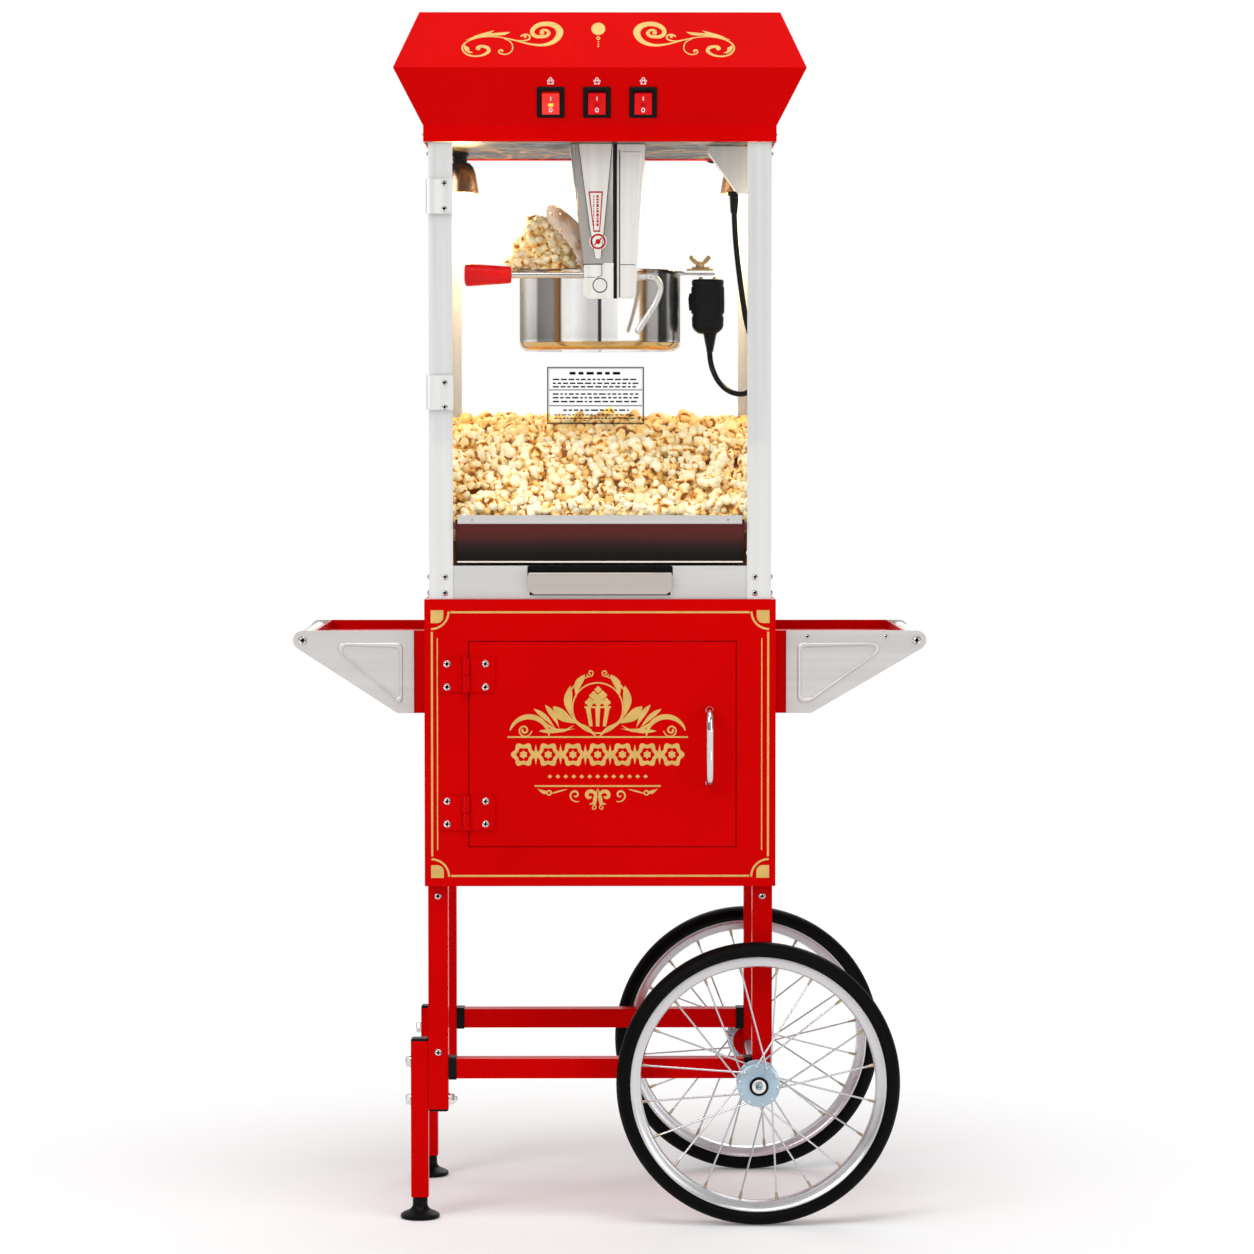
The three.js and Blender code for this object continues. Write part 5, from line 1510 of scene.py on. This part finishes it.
def hanger_arm(end, way):
    """One arm: a raised tapered face, a second column beside it, and the bearing block under them."""
    plane = Plane(at(0, way * 116, 0), X_AXIS * -way, Z_AXIS)

    def place(line):
        return [(-way * u * MM, v * MM) for u, v in line]

    def ring(line, h):
        return [plane.at(u, v, h) for u, v in place(line)]

    top = CEILING
    back = Form()
    whole = [(-38, top), (-21, 1204), (3, 1204), (3, 1188), (-20, 1188), (-20, 1168), (-14, 1162),
             (43, 1162), (58, top)]
    back.slab(plane, place(whole), 0.0, 0.0018)
    outer = [(-36.5, top), (-29.4, 1290), (-24.8, 1250), (-20.8, 1204.6), (4.0, 1204.6), (17.0, 1206),
             (17.0, 1250), (17.0, 1290), (17.0, top)]
    shoulder = [(u * 0.97, v) for u, v in outer]
    face = [(-27, top), (-18.6, 1292), (-12.8, 1250), (-6.2, 1213), (-1.2, 1211), (1.2, 1213), (5.4, 1250),
            (9.6, 1292), (15.4, top)]
    back.loft([ring(outer, 0.0015), ring(shoulder, 0.0042), ring([(u * 0.98, v) for u, v in face], 0.0062)])
    # The flanks take the darker copy, as painted shade.
    back.piece(f"{end}_hanger_flanks", HANGER_FLANK_PAINTED_SHADE, "cart", "brushed_aluminium", 0.0006,
               ["kettle_hanger"] if way < 0 else ())
    panel = Form().slab(plane, place(face), 0.0058, 0.0079)
    # The face takes the lighter copy, as painted light.
    panel.piece(f"{end}_hanger_panel", HANGER_FACE_PAINTED_LIGHT, "cart", "brushed_aluminium", 0.0004)
    form = Form()
    block = [(4.2, 1206), (4.2, 1187.6), (-21, 1187.6), *arc(-13, 1169, 8, 180, 270, 6),
             (17, 1161), (17, 1206)]
    form.slab(plane, place(block), 0.0015, 0.0072)
    pad = [(-20.4, 1204.2), (4.6, 1204.2), (4.6, 1187.2), (-20.4, 1187.2)]
    form.slab(plane, place(pad), 0.0015, 0.0060)
    second = [(21.4, top), (21.4, 1161)] + arc(40, 1166, 5, 270, 360, 5) + [(57, top)]
    form.slab(plane, place(second), 0.0015, 0.0046)
    raised = [(25.4, 1346), (25.4, 1164), (42.4, 1164), (52.4, 1346)]
    form.slab(plane, place(raised), 0.0044, 0.0058)
    # The arm takes the lighter copy, as painted light.
    form.piece(f"{end}_hanger_arm", HANGER_FACE_PAINTED_LIGHT, "cart", "brushed_aluminium", 0.0011)
    # Painted shade: a thin black strip in the slit between the arm's face and its second column.
    slit = [(16.6, top), (16.6, 1161.5), (21.8, 1161.5), (21.8, top)]
    gap = Form().slab(plane, place(slit), 0.0015, 0.0024)
    gap.piece(f"{end}_hanger_gap_painted_shade", BLACK, "cart", "black_plastic")
    lines = Form()
    for edge, level in ((outer, 0.0016), (face, 0.0081)):
        for seam in (edge[:4], edge[5:]):
            lines.ribbon(plane, place(seam), 0.6 * MM, level)
    pad_seam = rounded([(-20.6, 1204.4), (2.4, 1204.4), (2.4, 1190.6), (-5.0, 1187.4), (-12.0, 1188.4),
                        (-20.6, 1187.0)], 2.0, 4)
    for line, level in (([(25.2, 1204), (44.6, 1204)], 0.0062), ([(9.4, 1300), (9.4, 1206)], 0.0044),
                        ([(24.6, 1348), (24.6, 1163)], 0.0062), (pad_seam, 0.0062)):
        lines.ribbon(plane, place(line), 0.7 * MM, level)
    flanges = Form()
    for line, inward in ((((-38, top), (-21.2, 1204)), 1), (((58, top), (44, 1180)), -1)):
        rings = []
        for x, z in line:
            rings.append([at(x, way * 115.7, z), at(x + inward * 1.2, way * 115.7, z),
                          at(x + inward * 1.2, way * 111.2, z), at(x, way * 111.2, z)])
        flanges.loft(rings)
    # The flanges take the darker copy, as painted shade.
    flanges.piece(f"{end}_hanger_flanges", HANGER_FLANK_PAINTED_SHADE, "cart", "brushed_aluminium", 0.0003)
    lines.piece(f"{end}_hanger_seams", BLACK_PRINT, "cart")
    pin = Form().lathe([(0, 8.3), (7.4, 8.3), (8.0, 7.6), (8.0, 2.4), (8.6, 1.6), (8.6, -12), (0, -12)],
                       at(0, way * 116, TRUNNION_Z), Y_AXIS * way, 36)
    pin.piece(f"{end}_trunnion_end", HANGER_FACE_PAINTED_LIGHT, "kettle", "polished_steel", 0.0004)
    rim = Form()
    outer, inner = circle(0, TRUNNION_Z, 9.4, 40), circle(0, TRUNNION_Z, 8.3, 40)
    rim.frame(plane, place(outer), place(inner), 0.0068, 0.0074)
    rim.piece(f"{end}_bearing_groove", BLACK_PRINT, "cart")


def hanger_bridge():
    form = Form()
    form.block(at(-38, -115.5, 1352.7), at(-12, 115.5, 1355.7))
    form.block(at(12, -115.5, 1352.7), at(58, 115.5, 1355.7))
    form.piece("hanger_top_plate", ALUMINIUM_ACROSS, "cart", "brushed_aluminium", 0.0004)
    bolts = Form()
    for x in (-25, 35):
        for y in (-60, 60):
            hex_head(bolts, at(x, y, 1352.6), -Z_AXIS, 10 * MM, 4.2 * MM)
    bolts.piece("hanger_bolts", BRIGHT_STEEL, "cart", "zinc_plate")


def hanger_label():
    """A red outlined label with dashes instead of words, over a red ring, both on white."""
    plane = Plane(at(0, -123.8, 0), X_AXIS, Z_AXIS)
    form = Form()
    outline = [(-14.5, 1296), (3.8, 1296), (0.2, 1245), (-8.2, 1245)]
    inner = [(-12.6, 1294), (2.0, 1294), (-1.0, 1247), (-7.2, 1247)]
    form.band(plane, mm(outline), mm(inner), 0.0002)
    draw = random.Random(9)
    z = 1291
    while z > 1252:
        long = draw.uniform(1.6, 4.2)
        for left, right in ((-4.4, -1.6), (-8.4, -7.2)):
            dash = [(left, z), (right, z), (right, z - long), (left, z - long)]
            form.print(plane, mm(dash), 0.0002)
        z -= long + 1.2
    form.band(plane, mm(circle(-2.4, 1233, 9.8, 40)), mm(circle(-2.4, 1233, 7.4, 40)))
    form.ribbon(plane, mm([(-7.2, 1228.5), (2.4, 1237.5)]), 1.8 * MM, 0.00025)
    form.print(plane, mm(circle(-2.4, 1233, 3.2, 20)), 0.0002)
    form.piece("hanger_mark", RED_PRINT, "cart")
    white = Form().slab(plane, mm(circle(-2.4, 1233, 10.8, 40)), -0.002, 0.00008)
    white.print(plane, mm([(-15.3, 1296.8), (4.6, 1296.8), (0.9, 1244.2), (-8.9, 1244.2)]), 0.00008)
    white.piece("hanger_mark_ground", WHITE_PRINT, "cart")


hanger_arm("front", -1)
hanger_arm("back", 1)
hanger_bridge()
hanger_label()

# ---------------------------------------------------------------- kettle


POT_RADIUS = 103.5


def kettle_pot():
    """The bowl with its rolled rim, the brass hoop round its foot, and the plates that carry the trunnions."""
    centre = at(0, 0, 0)
    profile = [(0, 1099), (88, 1098.6), (92, 1098.3), (96.5, 1099.2), (99.8, 1101.2), (102, 1104.4),
               (103.2, 1108.8), (POT_RADIUS, 1112), (POT_RADIUS, 1193), (104.2, 1195.6), (107, 1197),
               (109.2, 1197.2), (110, 1198), (110, 1199.2), (109.2, 1199.9), (105, 1199.8), (102.2, 1198.6),
               (101.5, 1196), (101.5, 1110), (96, 1104.5), (0, 1104)]
    form = Form().lathe(profile, centre, Z_AXIS, 128)
    bowl = form.piece("kettle_bowl", POT_STEEL, "kettle", "polished_steel", replaces=["kettle_pot"])
    # across runs from 0 to 1 over the pot's width and picks the painted reflection bands.
    mark(bowl, "across", lambda p: 0.5 + 0.5 * (p.x - centre.x) / (POT_RADIUS * MM))
    hoop = Form().lathe([(96.5, 1098.2), (100.2, 1100.0), (102.6, 1103.0), (103.9, 1107.6), (103.0, 1108.2),
                         (99.5, 1102.5), (96.5, 1099.4)], centre, Z_AXIS, 128, closed=True)
    hoop.piece("kettle_base_hoop", BRASS_SHEET, "kettle", "polished_steel")
    mounts = Form()
    for way in (-1, 1):
        plane = Plane(at(0, way * 100, 0), X_AXIS * -way, Z_AXIS)
        outline = rounded([(-16, 1165), (22, 1165), (22, 1197), (-16, 1197)], 3, 4)
        mounts.slab(plane, [(-way * u * MM, v * MM) for u, v in outline], 0.0, 0.008)
        mounts.lathe([(0, 7.5), (12.5, 7.5), (12.5, 9.5), (8.6, 10.5), (8.6, 14), (0, 14)],
                     at(0, way * 100, TRUNNION_Z), Y_AXIS * way, 36)
    mounts.block(at(100, -12, 1195.2), at(148, 12, 1198.2))
    mounts.piece("kettle_mounts", BRIGHT_STEEL, "kettle", "polished_steel", 0.0007)


# the lid is split along a line turned a little from the front-to-back axis, and its loose half stands open
LID_TURN = Matrix.Rotation(math.radians(13), 3, "Z")
LID_X, LID_Y = LID_TURN @ X_AXIS, LID_TURN @ Y_AXIS
LID_HINGE = at(0, 0, 1203) - 8 * MM * LID_X
FLAP_OPEN = math.radians(54)
FLAP = Plane(LID_HINGE, Z_AXIS * math.sin(FLAP_OPEN) - LID_X * math.cos(FLAP_OPEN), LID_Y)


def half_disc(side, x, radius, steps=56):
    """The part of a disc on one side of a line at x."""
    edge = math.degrees(math.acos(x / radius))
    start, end = (edge, 360 - edge) if side < 0 else (-edge, edge)
    return arc(0, 0, radius, start, end, steps)


def kettle_lid():
    """The fixed half of the lid with its hinge, and the brass clamp and wing nut over the plug."""
    form = Form()
    flat = Plane(at(0, 0, 1199.3), LID_X, LID_Y)
    line = half_disc(1, -5, 108)
    inner = half_disc(1, -3.5, 106)
    rings = [(line, 0), (line, 0.0012), (inner, 0.0019)]
    form.loft([[flat.at(u, v, h) for u, v in mm(ring)] for ring, h in rings])
    for y in (-66, 66):
        form.lathe([(0, -12), (2.6, -12), (2.6, 12), (0, 12)], LID_HINGE + LID_Y * y * MM, LID_Y, 20)
        strap = [(-8, y - 11), (10, y - 11), (10, y + 11), (-8, y + 11)]
        form.slab(flat, mm(strap), 0.0016, 0.0028)
    boss = [(0, 1200.8), (9, 1200.8), (9, 1203), (5.4, 1204.2), (5.2, 1207.5), (0, 1207.5)]
    form.lathe(boss, at(0, 0, 0), Z_AXIS, 32)
    form.piece("kettle_fixed_lid", STEEL, "kettle", "polished_steel", 0.0003, ["kettle_lid"])
    clamp = Form()
    clamp.block(at(112, -10, 1201.0), at(146, 10, 1203.4))
    clamp.block(at(118, -8, 1203.4), at(141, 8, 1206.0))
    stud = [(0, 1206), (5.5, 1206), (5.5, 1209), (4.2, 1210.5), (4.2, 1213), (0, 1213)]
    clamp.lathe(stud, at(129, 0, 0), Z_AXIS, 24)
    clamp.piece("plug_clamp", BRASS, "kettle", "polished_steel", 0.0008)
    wings = Form()
    up = Plane(at(129, 1.3, 0), X_AXIS, Z_AXIS)
    for way in (-1, 1):
        wing = [(3, 1207.5), (9, 1211), (14, 1217), (13.2, 1220.4), (9.4, 1220.8), (5, 1216), (3, 1213)]
        wings.slab(up, mm([(way * u, v) for u, v in wing]), 0, 0.0026)
    wings.piece("plug_wing_nut", BRASS, "kettle", "polished_steel", 0.0008)


def lid_flap():
    """The loose half of the lid, standing open, with its knuckles and a few rivets."""
    line = [(-8 - u, v) for u, v in half_disc(-1, -12, 108)]
    inner = [(4.9 + (u - 4.9) * 0.985, v * 0.985) for u, v in line]
    form = Form()
    rings = [(line, -0.0002), (line, -0.0013), (inner, -0.0018)]
    form.loft([[FLAP.at(u, v, h) for u, v in mm(ring)] for ring, h in rings])
    for y in (-38, 38):
        form.lathe([(0, -10), (2.6, -10), (2.6, 10), (0, 10)], LID_HINGE + LID_Y * y * MM, LID_Y, 20)
        form.slab(FLAP, mm([(0, y - 9), (8, y - 9), (8, y + 9), (0, y + 9)]), -0.0016, -0.0003)
    form.piece("lid_flap_plate", LID_STEEL, "lid_flap", "polished_steel", 0.0003, ["kettle_lid_flap"])
    rivets = Form()
    for u, v in ((84, -28), (62, 30), (24, -60), (30, 66), (88, 20)):
        for way, level in ((-1, -0.0018), (1, -0.0002)):
            rivets.lathe([(0, 1.3), (1.4, 1.1), (2.6, 0.2), (2.6, -0.1), (0, -0.1)],
                         FLAP.at(u * MM, v * MM, level), FLAP.n * way, 16)
    rivets.piece("lid_flap_rivets", BRIGHT_STEEL, "lid_flap", "polished_steel")


def kettle_handle():
    """The steel rod along the front of the pot, and the tapered red grip on its end."""
    y, z, left = -110.5, 1191.5, -111.5
    rod = Form().lathe([(0, left), (4.5, left), (4.5, -20), (5.6, -19.6), (5.6, -16.3), (0, -16.3)],
                       at(0, y, z), X_AXIS, 28)
    rod.piece("handle_steel_rod", STEEL, "kettle", "polished_steel", 0.0004, ["kettle_handle_rod"])
    length = 59.5
    profile = [(0, 0), (9, 0.2), (12.6, 1.2), (14.2, 3.4), (14.5, 6), (14.0, 12), (12.4, 34), (11.0, 54),
               (10.6, 57.4), (9.6, 59), (7.5, length), (5.2, length), (5.2, 57.5), (0, 57.5)]
    grip = Form().lathe(profile, at(left - 0.3 - length, y, z), X_AXIS, 48)
    grip.piece("handle_red_grip", RED_PLASTIC, "kettle", "red_plastic", replaces=["kettle_handle_grip"])


def kettle_latch():
    """A bent rod beside the front arm, which turns about its upper end."""
    y = -111.3
    points = [(46, 1188), (61, 1189), (71, 1186), (76, 1177), (72, 1161), (60, 1140), (47, 1120)]
    line = through([at(x, y, z) for x, z in points], 10)
    form = Form().tube(line, 4.2 * MM, 24, round_ends=True)
    form.lathe([(0, 0), (6.2, 0), (6.2, 4), (0, 4)], at(46, y, 1188) - X_AXIS * 2 * MM, X_AXIS, 24)
    form.piece("latch_bent_rod", LATCH_STEEL, "latch", "polished_steel", replaces=["kettle_latch"])


def agitator():
    """Two blades over the pot's floor, on a shaft that ends under the lid."""
    form = Form()
    floor = 1104.9
    shaft = [(0, floor), (7, floor), (7, floor + 15), (5.5, floor + 18), (4, floor + 18.5), (4, 1199), (0, 1199)]
    form.lathe(shaft, at(0, 0, 0), Z_AXIS, 28)
    for way in (-1, 1):
        blade = [(5, floor + 1), (84, floor + 1), (84, floor + 4), (60, floor + 9), (5, floor + 9)]
        plane = Plane(at(0, 1.5, 0), X_AXIS, Z_AXIS)
        form.slab(plane, mm([(way * u, v) for u, v in blade]), 0, 0.003)
    form.piece("agitator_blades", STEEL, "agitator", "polished_steel", 0.0003, ["agitator"])


def kettle_plug():
    """A moulded plug with its terminals and lever, and the strain reliefs at both ends of its lead."""
    x0 = 139

    def ring(x, half_x, half_y, z, power=0.5, steps=48):
        line = []
        for i in range(steps):
            a = 2 * math.pi * i / steps
            c, s = (math.copysign(abs(part) ** power, part) for part in (math.cos(a), math.sin(a)))
            line.append(at(x + half_x * c, half_y * s, z))
        return line

    rows = [(17, 15.5, 1190), (19.5, 18, 1189.4), (20.6, 19, 1187.5), (20.8, 19.2, 1184), (20.2, 18.6, 1183),
            (20.2, 18.6, 1181), (21.2, 19.4, 1180), (21.6, 19.6, 1160), (21.4, 19.4, 1147), (19.6, 18, 1145),
            (19.4, 17.8, 1143), (20.6, 18.8, 1141.5), (20.2, 18.6, 1130), (18.6, 17, 1126), (15, 14, 1122.5),
            (11.5, 11, 1120.2)]
    form = Form().loft([ring(x0, a, b, z) for a, b, z in rows])
    form.piece("plug_body", BLACK, "kettle", "black_plastic", replaces=["kettle_plug"])
    details = Form()
    terminal = [(0, 1193.2), (1.6, 1193), (2.7, 1191.8), (2.7, 1189.6), (0, 1189.6)]
    for dx in (-9, 9):
        details.lathe(terminal, at(x0 + dx, -6, 0), Z_AXIS, 18)
    details.piece("plug_terminals", BRASS, "kettle", "polished_steel")
    arch = Form()
    front = Plane(at(x0, -18.4, 0), X_AXIS, Z_AXIS)
    window = [(-9, 1126), *arc(0, 1133, 9, 180, 0, 14), (9, 1126)]
    inner = [(u * 0.84, 1126 + (v - 1126) * 0.86) for u, v in window]
    arch.frame(front, mm(window), mm(inner), -0.001, 0.0011)
    for u in (-14.5, 14.5):
        arch.slab(front, mm(round_rect(u, 1163, 1.1, 15, 0.8, 3)), -0.001, 0.0014)
    arch.piece("plug_mouldings", BLACK, "kettle", "black_plastic", 0.0003)
    lever = Form()
    lever.loft([ring(x0 - 22.6, 1.6, 7, z, 0.7, 20) for z in (1150, 1152)] +
               [ring(x0 - 23.2, 2.0, 8, 1165, 0.7, 20), ring(x0 - 22.4, 1.4, 7, 1172, 0.7, 20)])
    lever.piece("plug_lever", BLACK, "kettle", "black_plastic", 0.0004)
    relief = Form()
    profile = [(3.7, 1097), (4.8, 1097)]
    z = 1097
    while z < 1119:
        r = 4.8 + (z - 1097) * 0.20
        profile += [(r, z + 1.6), (r - 0.9, z + 1.9), (r - 0.9, z + 2.7), (r + 0.2, z + 3.0)]
        z += 3.0
    profile += [(9.4, 1120.4), (3.7, 1120.4)]
    relief.lathe(profile, at(141.9, 0, 0), Z_AXIS, 28, closed=True)
    relief.piece("plug_strain_relief", BLACK, "kettle", "black_plastic")
    top = Form()
    profile = [(3.7, 1299), (8.5, 1299), (8.5, 1294.9), (6.0, 1293.6), (5.4, 1284), (4.6, 1272), (3.7, 1272)]
    top.lathe(profile, at(171, -60, 0), Z_AXIS, 28, closed=True)
    top.piece("outlet_strain_relief", BLACK, "cart", "black_plastic")


kettle_pot()
kettle_lid()
lid_flap()
kettle_handle()
kettle_latch()
agitator()
kettle_plug()

# ---------------------------------------------------------------- popcorn


def unit_sphere(detail):
    work = bmesh.new()
    bmesh.ops.create_icosphere(work, subdivisions=detail, radius=1.0)
    points = np.array([v.co[:] for v in work.verts])
    faces = np.array([[v.index for v in f.verts] for f in work.faces])
    work.free()
    return points, faces


UNIT_POINTS, UNIT_FACES = unit_sphere(2)


def popped_kernel(seed):
    """One popped kernel of several blown-out lobes round its hull, about two units across.

    Returns its points, its faces, and at each point how much of the brown hull shows, with painted shade added in
    the creases between lobes.
    """
    draw = random.Random(seed)
    count = draw.choice((4, 5, 5, 6))
    lobes = []
    for k in range(count):
        turn = 2 * math.pi * (k + draw.uniform(-0.25, 0.25)) / max(count - 1, 1)
        centre = Vector((0.52 * math.cos(turn), 0.52 * math.sin(turn), draw.uniform(-0.15, 0.35)))
        if k == count - 1:
            centre = Vector((0, 0, 0.42))
        lobes.append((centre, draw.uniform(0.36, 0.66)))
    points, faces, hull_and_shade = [], [], []
    for k, (centre, radius) in enumerate(lobes):
        offset = Vector([draw.uniform(0, 50) for _ in range(3)])
        squash = Vector((draw.uniform(0.85, 1.15), draw.uniform(0.85, 1.15), draw.uniform(0.75, 1.0)))
        base = len(points)
        for p in UNIT_POINTS:
            direction = Vector(p)
            swollen, blistered = (noise.noise(direction * scale + offset) for scale in (1.3, 3.4))
            grow = 1 + 0.55 * swollen + 0.22 * blistered
            spot = centre + radius * grow * Vector(d * s for d, s in zip(direction, squash))
            points.append(spot)
            gap = min((spot - other).length / r for i, (other, r) in enumerate(lobes) if i != k)
            # Painted shade: points close to another lobe are browned, in patches, as the shade in the creases.
            crease_shade = max(0.0, 1.0 - max(0.0, gap - 1.0) / 0.34)
            hull = max(0.0, 1.0 - (spot - Vector((0, 0, -0.50))).length / 0.55)
            patch = min(1.0, max(0.0, 0.55 + 2.2 * noise.noise(spot * 1.3 + lobes[0][0] * 40)))
            hull_and_shade.append(0.80 * crease_shade * patch + 0.95 * hull)
        faces += [[base + i for i in f] for f in UNIT_FACES]
    return np.array([p[:] for p in points]), np.array(faces), np.array(hull_and_shade)


KERNELS = [popped_kernel(seed) for seed in range(14)]


def scatter(name, places, body, seed):
    """Popped kernels at places (point, radius in metres, extra brown), each turned its own way, as one mesh."""
    draw = random.Random(seed)
    all_points, all_faces, all_hull_and_shade = [], [], []
    start = 0
    for place, radius, *warm in places:
        points, faces, hull_and_shade = KERNELS[draw.randrange(len(KERNELS))]
        turns = [Matrix.Rotation(draw.uniform(low, high), 3, axis)
                 for low, high, axis in ((0, math.tau, "Z"), (-1.9, 1.9, "X"), (0, math.tau, "Z"))]
        turn = turns[0] @ turns[1] @ turns[2]
        shape = points @ np.array(turn).T * radius * draw.uniform(0.86, 1.12) + np.array(place)
        all_points.append(shape)
        all_faces.append(faces + start)
        all_hull_and_shade.append(hull_and_shade + draw.uniform(-0.08, 0.14) + sum(warm))
        start += len(points)
    points, faces = np.concatenate(all_points), np.concatenate(all_faces)
    mesh = bpy.data.meshes.new(name)
    mesh.from_pydata(points.tolist(), [], faces.tolist())
    mesh.attributes.new("hull", "FLOAT", "POINT").data.foreach_set("value", np.concatenate(all_hull_and_shade))
    mesh.polygons.foreach_set("use_smooth", [True] * len(mesh.polygons))
    mesh.materials.append(POPCORN)
    made = bpy.data.objects.new(name, mesh)
    bpy.context.scene.collection.objects.link(made)
    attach(made, body)
    return made


HEAP = {"left": -205, "right": 205, "front": -162, "back": 166}
CORE_DEPTH = 26  # how far the heap's core lies under its top, in millimetres
KERNEL_RADIUS = 0.0118


def heap_height(x, y):
    """The heap rises from the flap to a rounded plateau."""
    t = min(1.0, max(0.0, (y - HEAP["front"]) / 200))
    rise = 886 + 124 * math.sin(t * math.pi / 2) ** 0.85
    lump = 9 * noise.noise(Vector((x / 70, y / 60, 3))) + 5 * noise.noise(Vector((x / 28, y / 26, 8)))
    return rise + lump - 6 * abs(x / 205) ** 3


def heap():
    """The popcorn on the deck: three layers on top, one against each window, and a core inside."""
    draw = random.Random(21)
    spacing = 17.5
    deck, wall, rear = 841.0, 197, 158
    small = (0.85, 1.05)
    top, sides, back = [], [], []
    rows = int((HEAP["back"] - HEAP["front"]) / (spacing * 0.8))
    for layer in (0, 1, 2):
        for j in range(rows + 1):
            y0 = HEAP["front"] + (HEAP["back"] - HEAP["front"]) * j / rows
            columns = int((HEAP["right"] - HEAP["left"]) / spacing)
            for i in range(columns + 1):
                x0 = HEAP["left"] + (HEAP["right"] - HEAP["left"]) * (i + 0.5 * (j % 2)) / (columns + 0.5)
                x = min(max(x0 + draw.uniform(-5, 5), -wall), wall)
                y = min(max(y0 + draw.uniform(-5, 5), -149), rear)
                z = heap_height(x, y) - 9 - 11 * layer + draw.uniform(-5, 6 - 3 * layer)
                if z < 838 or (layer == 2 and y > -60):
                    continue
                # Painted shade: the second and third layers are browner, as the shade where they show between the
                # top kernels; kernels above 968 mm are browner too.
                warm = 0.20 * min(1.0, max(0.0, (z - 968) / 30)) + (0.0, 0.20, 0.36)[layer]
                top.append((at(x, y, z), KERNEL_RADIUS * draw.uniform(0.80, 1.22), warm))
    for side in (-1, 1):
        y = HEAP["front"] + 4
        while y < HEAP["back"] - 4:
            z = deck
            limit = heap_height(side * wall, y) - CORE_DEPTH
            while z < limit:
                x = side * (wall - 0.5 + draw.uniform(-1.5, 0.5))
                spot = at(x, y + draw.uniform(-4, 4), z + draw.uniform(-4, 4))
                sides.append((spot, KERNEL_RADIUS * draw.uniform(*small)))
                z += spacing
            y += spacing
    x = -190.0
    while x < 190:
        z = deck
        while z < heap_height(x, rear) - CORE_DEPTH:
            spot = at(x + draw.uniform(-4, 4), rear - 0.5, z + draw.uniform(-4, 4))
            back.append((spot, KERNEL_RADIUS * draw.uniform(*small)))
            z += spacing
        x += spacing
    words = ("front", "front_middle", "back_middle", "back")
    for k, word in enumerate(words):
        part = top[k * len(top) // len(words):(k + 1) * len(top) // len(words)]
        scatter(f"popcorn_heap_{word}", part, "cart", 31 + 10 * k)
    scatter("popcorn_heap_sides", sides, "cart", 33)
    scatter("popcorn_heap_rear", back, "cart", 34)
    heap_core()


def heap_core():
    """A closed lump just under the top layers, so that nothing shows between the kernels."""
    core = Form()
    nx, ny = 24, 20
    grid = []
    for j in range(ny + 1):
        for i in range(nx + 1):
            x = -188 + 376 * i / nx
            y = -152 + 302 * j / ny
            grid.append(at(x, y, max(heap_height(x, y) - CORE_DEPTH, 834)))
    under = [Vector((p.x, p.y, 0.8295)) for p in grid]
    n = nx + 1
    faces = []
    for j in range(ny):
        for i in range(nx):
            a = j * n + i
            faces.append([a, a + 1, a + n + 1, a + n])
            b = a + len(grid)
            faces.append([b, b + n, b + n + 1, b + 1])
    edge = [*range(n), *(j * n + nx for j in range(1, ny + 1)),
            *(ny * n + i for i in range(nx - 1, -1, -1)), *(j * n for j in range(ny - 1, 0, -1))]
    for a, b in zip(edge, edge[1:] + edge[:1]):
        faces.append([a, a + len(grid), b + len(grid), b])
    core.add(grid + under, faces)
    core.piece("popcorn_heap_core", POPCORN_CORE, "cart")


def kettle_pile():
    """Popcorn that has pushed the loose lid up, heaped against its underside and over the rim."""
    draw = random.Random(5)
    peak = at(-80, -22, 1262)
    places = []
    for level in range(9):
        z = 1186 + 11.5 * level
        for i in range(-9, 10):
            for j in range(-9, 10):
                x = -70 + 12.5 * i + (6 if j % 2 else 0) + draw.uniform(-3, 3)
                y = 12.5 * j + draw.uniform(-3, 3)
                spot = at(x, y, z + draw.uniform(-3, 3))
                wide = 0.52 * (peak.z - spot.z) / MM + 14
                off = math.hypot(x + 74, 0.72 * (y + 8))
                if off > wide or (spot - LID_HINGE).dot(-FLAP.n) > -0.0165:
                    continue
                if z < 1200 and math.hypot(x, y) > 88:
                    continue
                if off < wide - 24 and z < 1240:
                    continue
                places.append((spot, KERNEL_RADIUS * draw.uniform(0.74, 1.10), 0.06))
    return scatter("popcorn_kettle_pile", places, "kettle", 43)


heap()
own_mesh(kettle_pile())
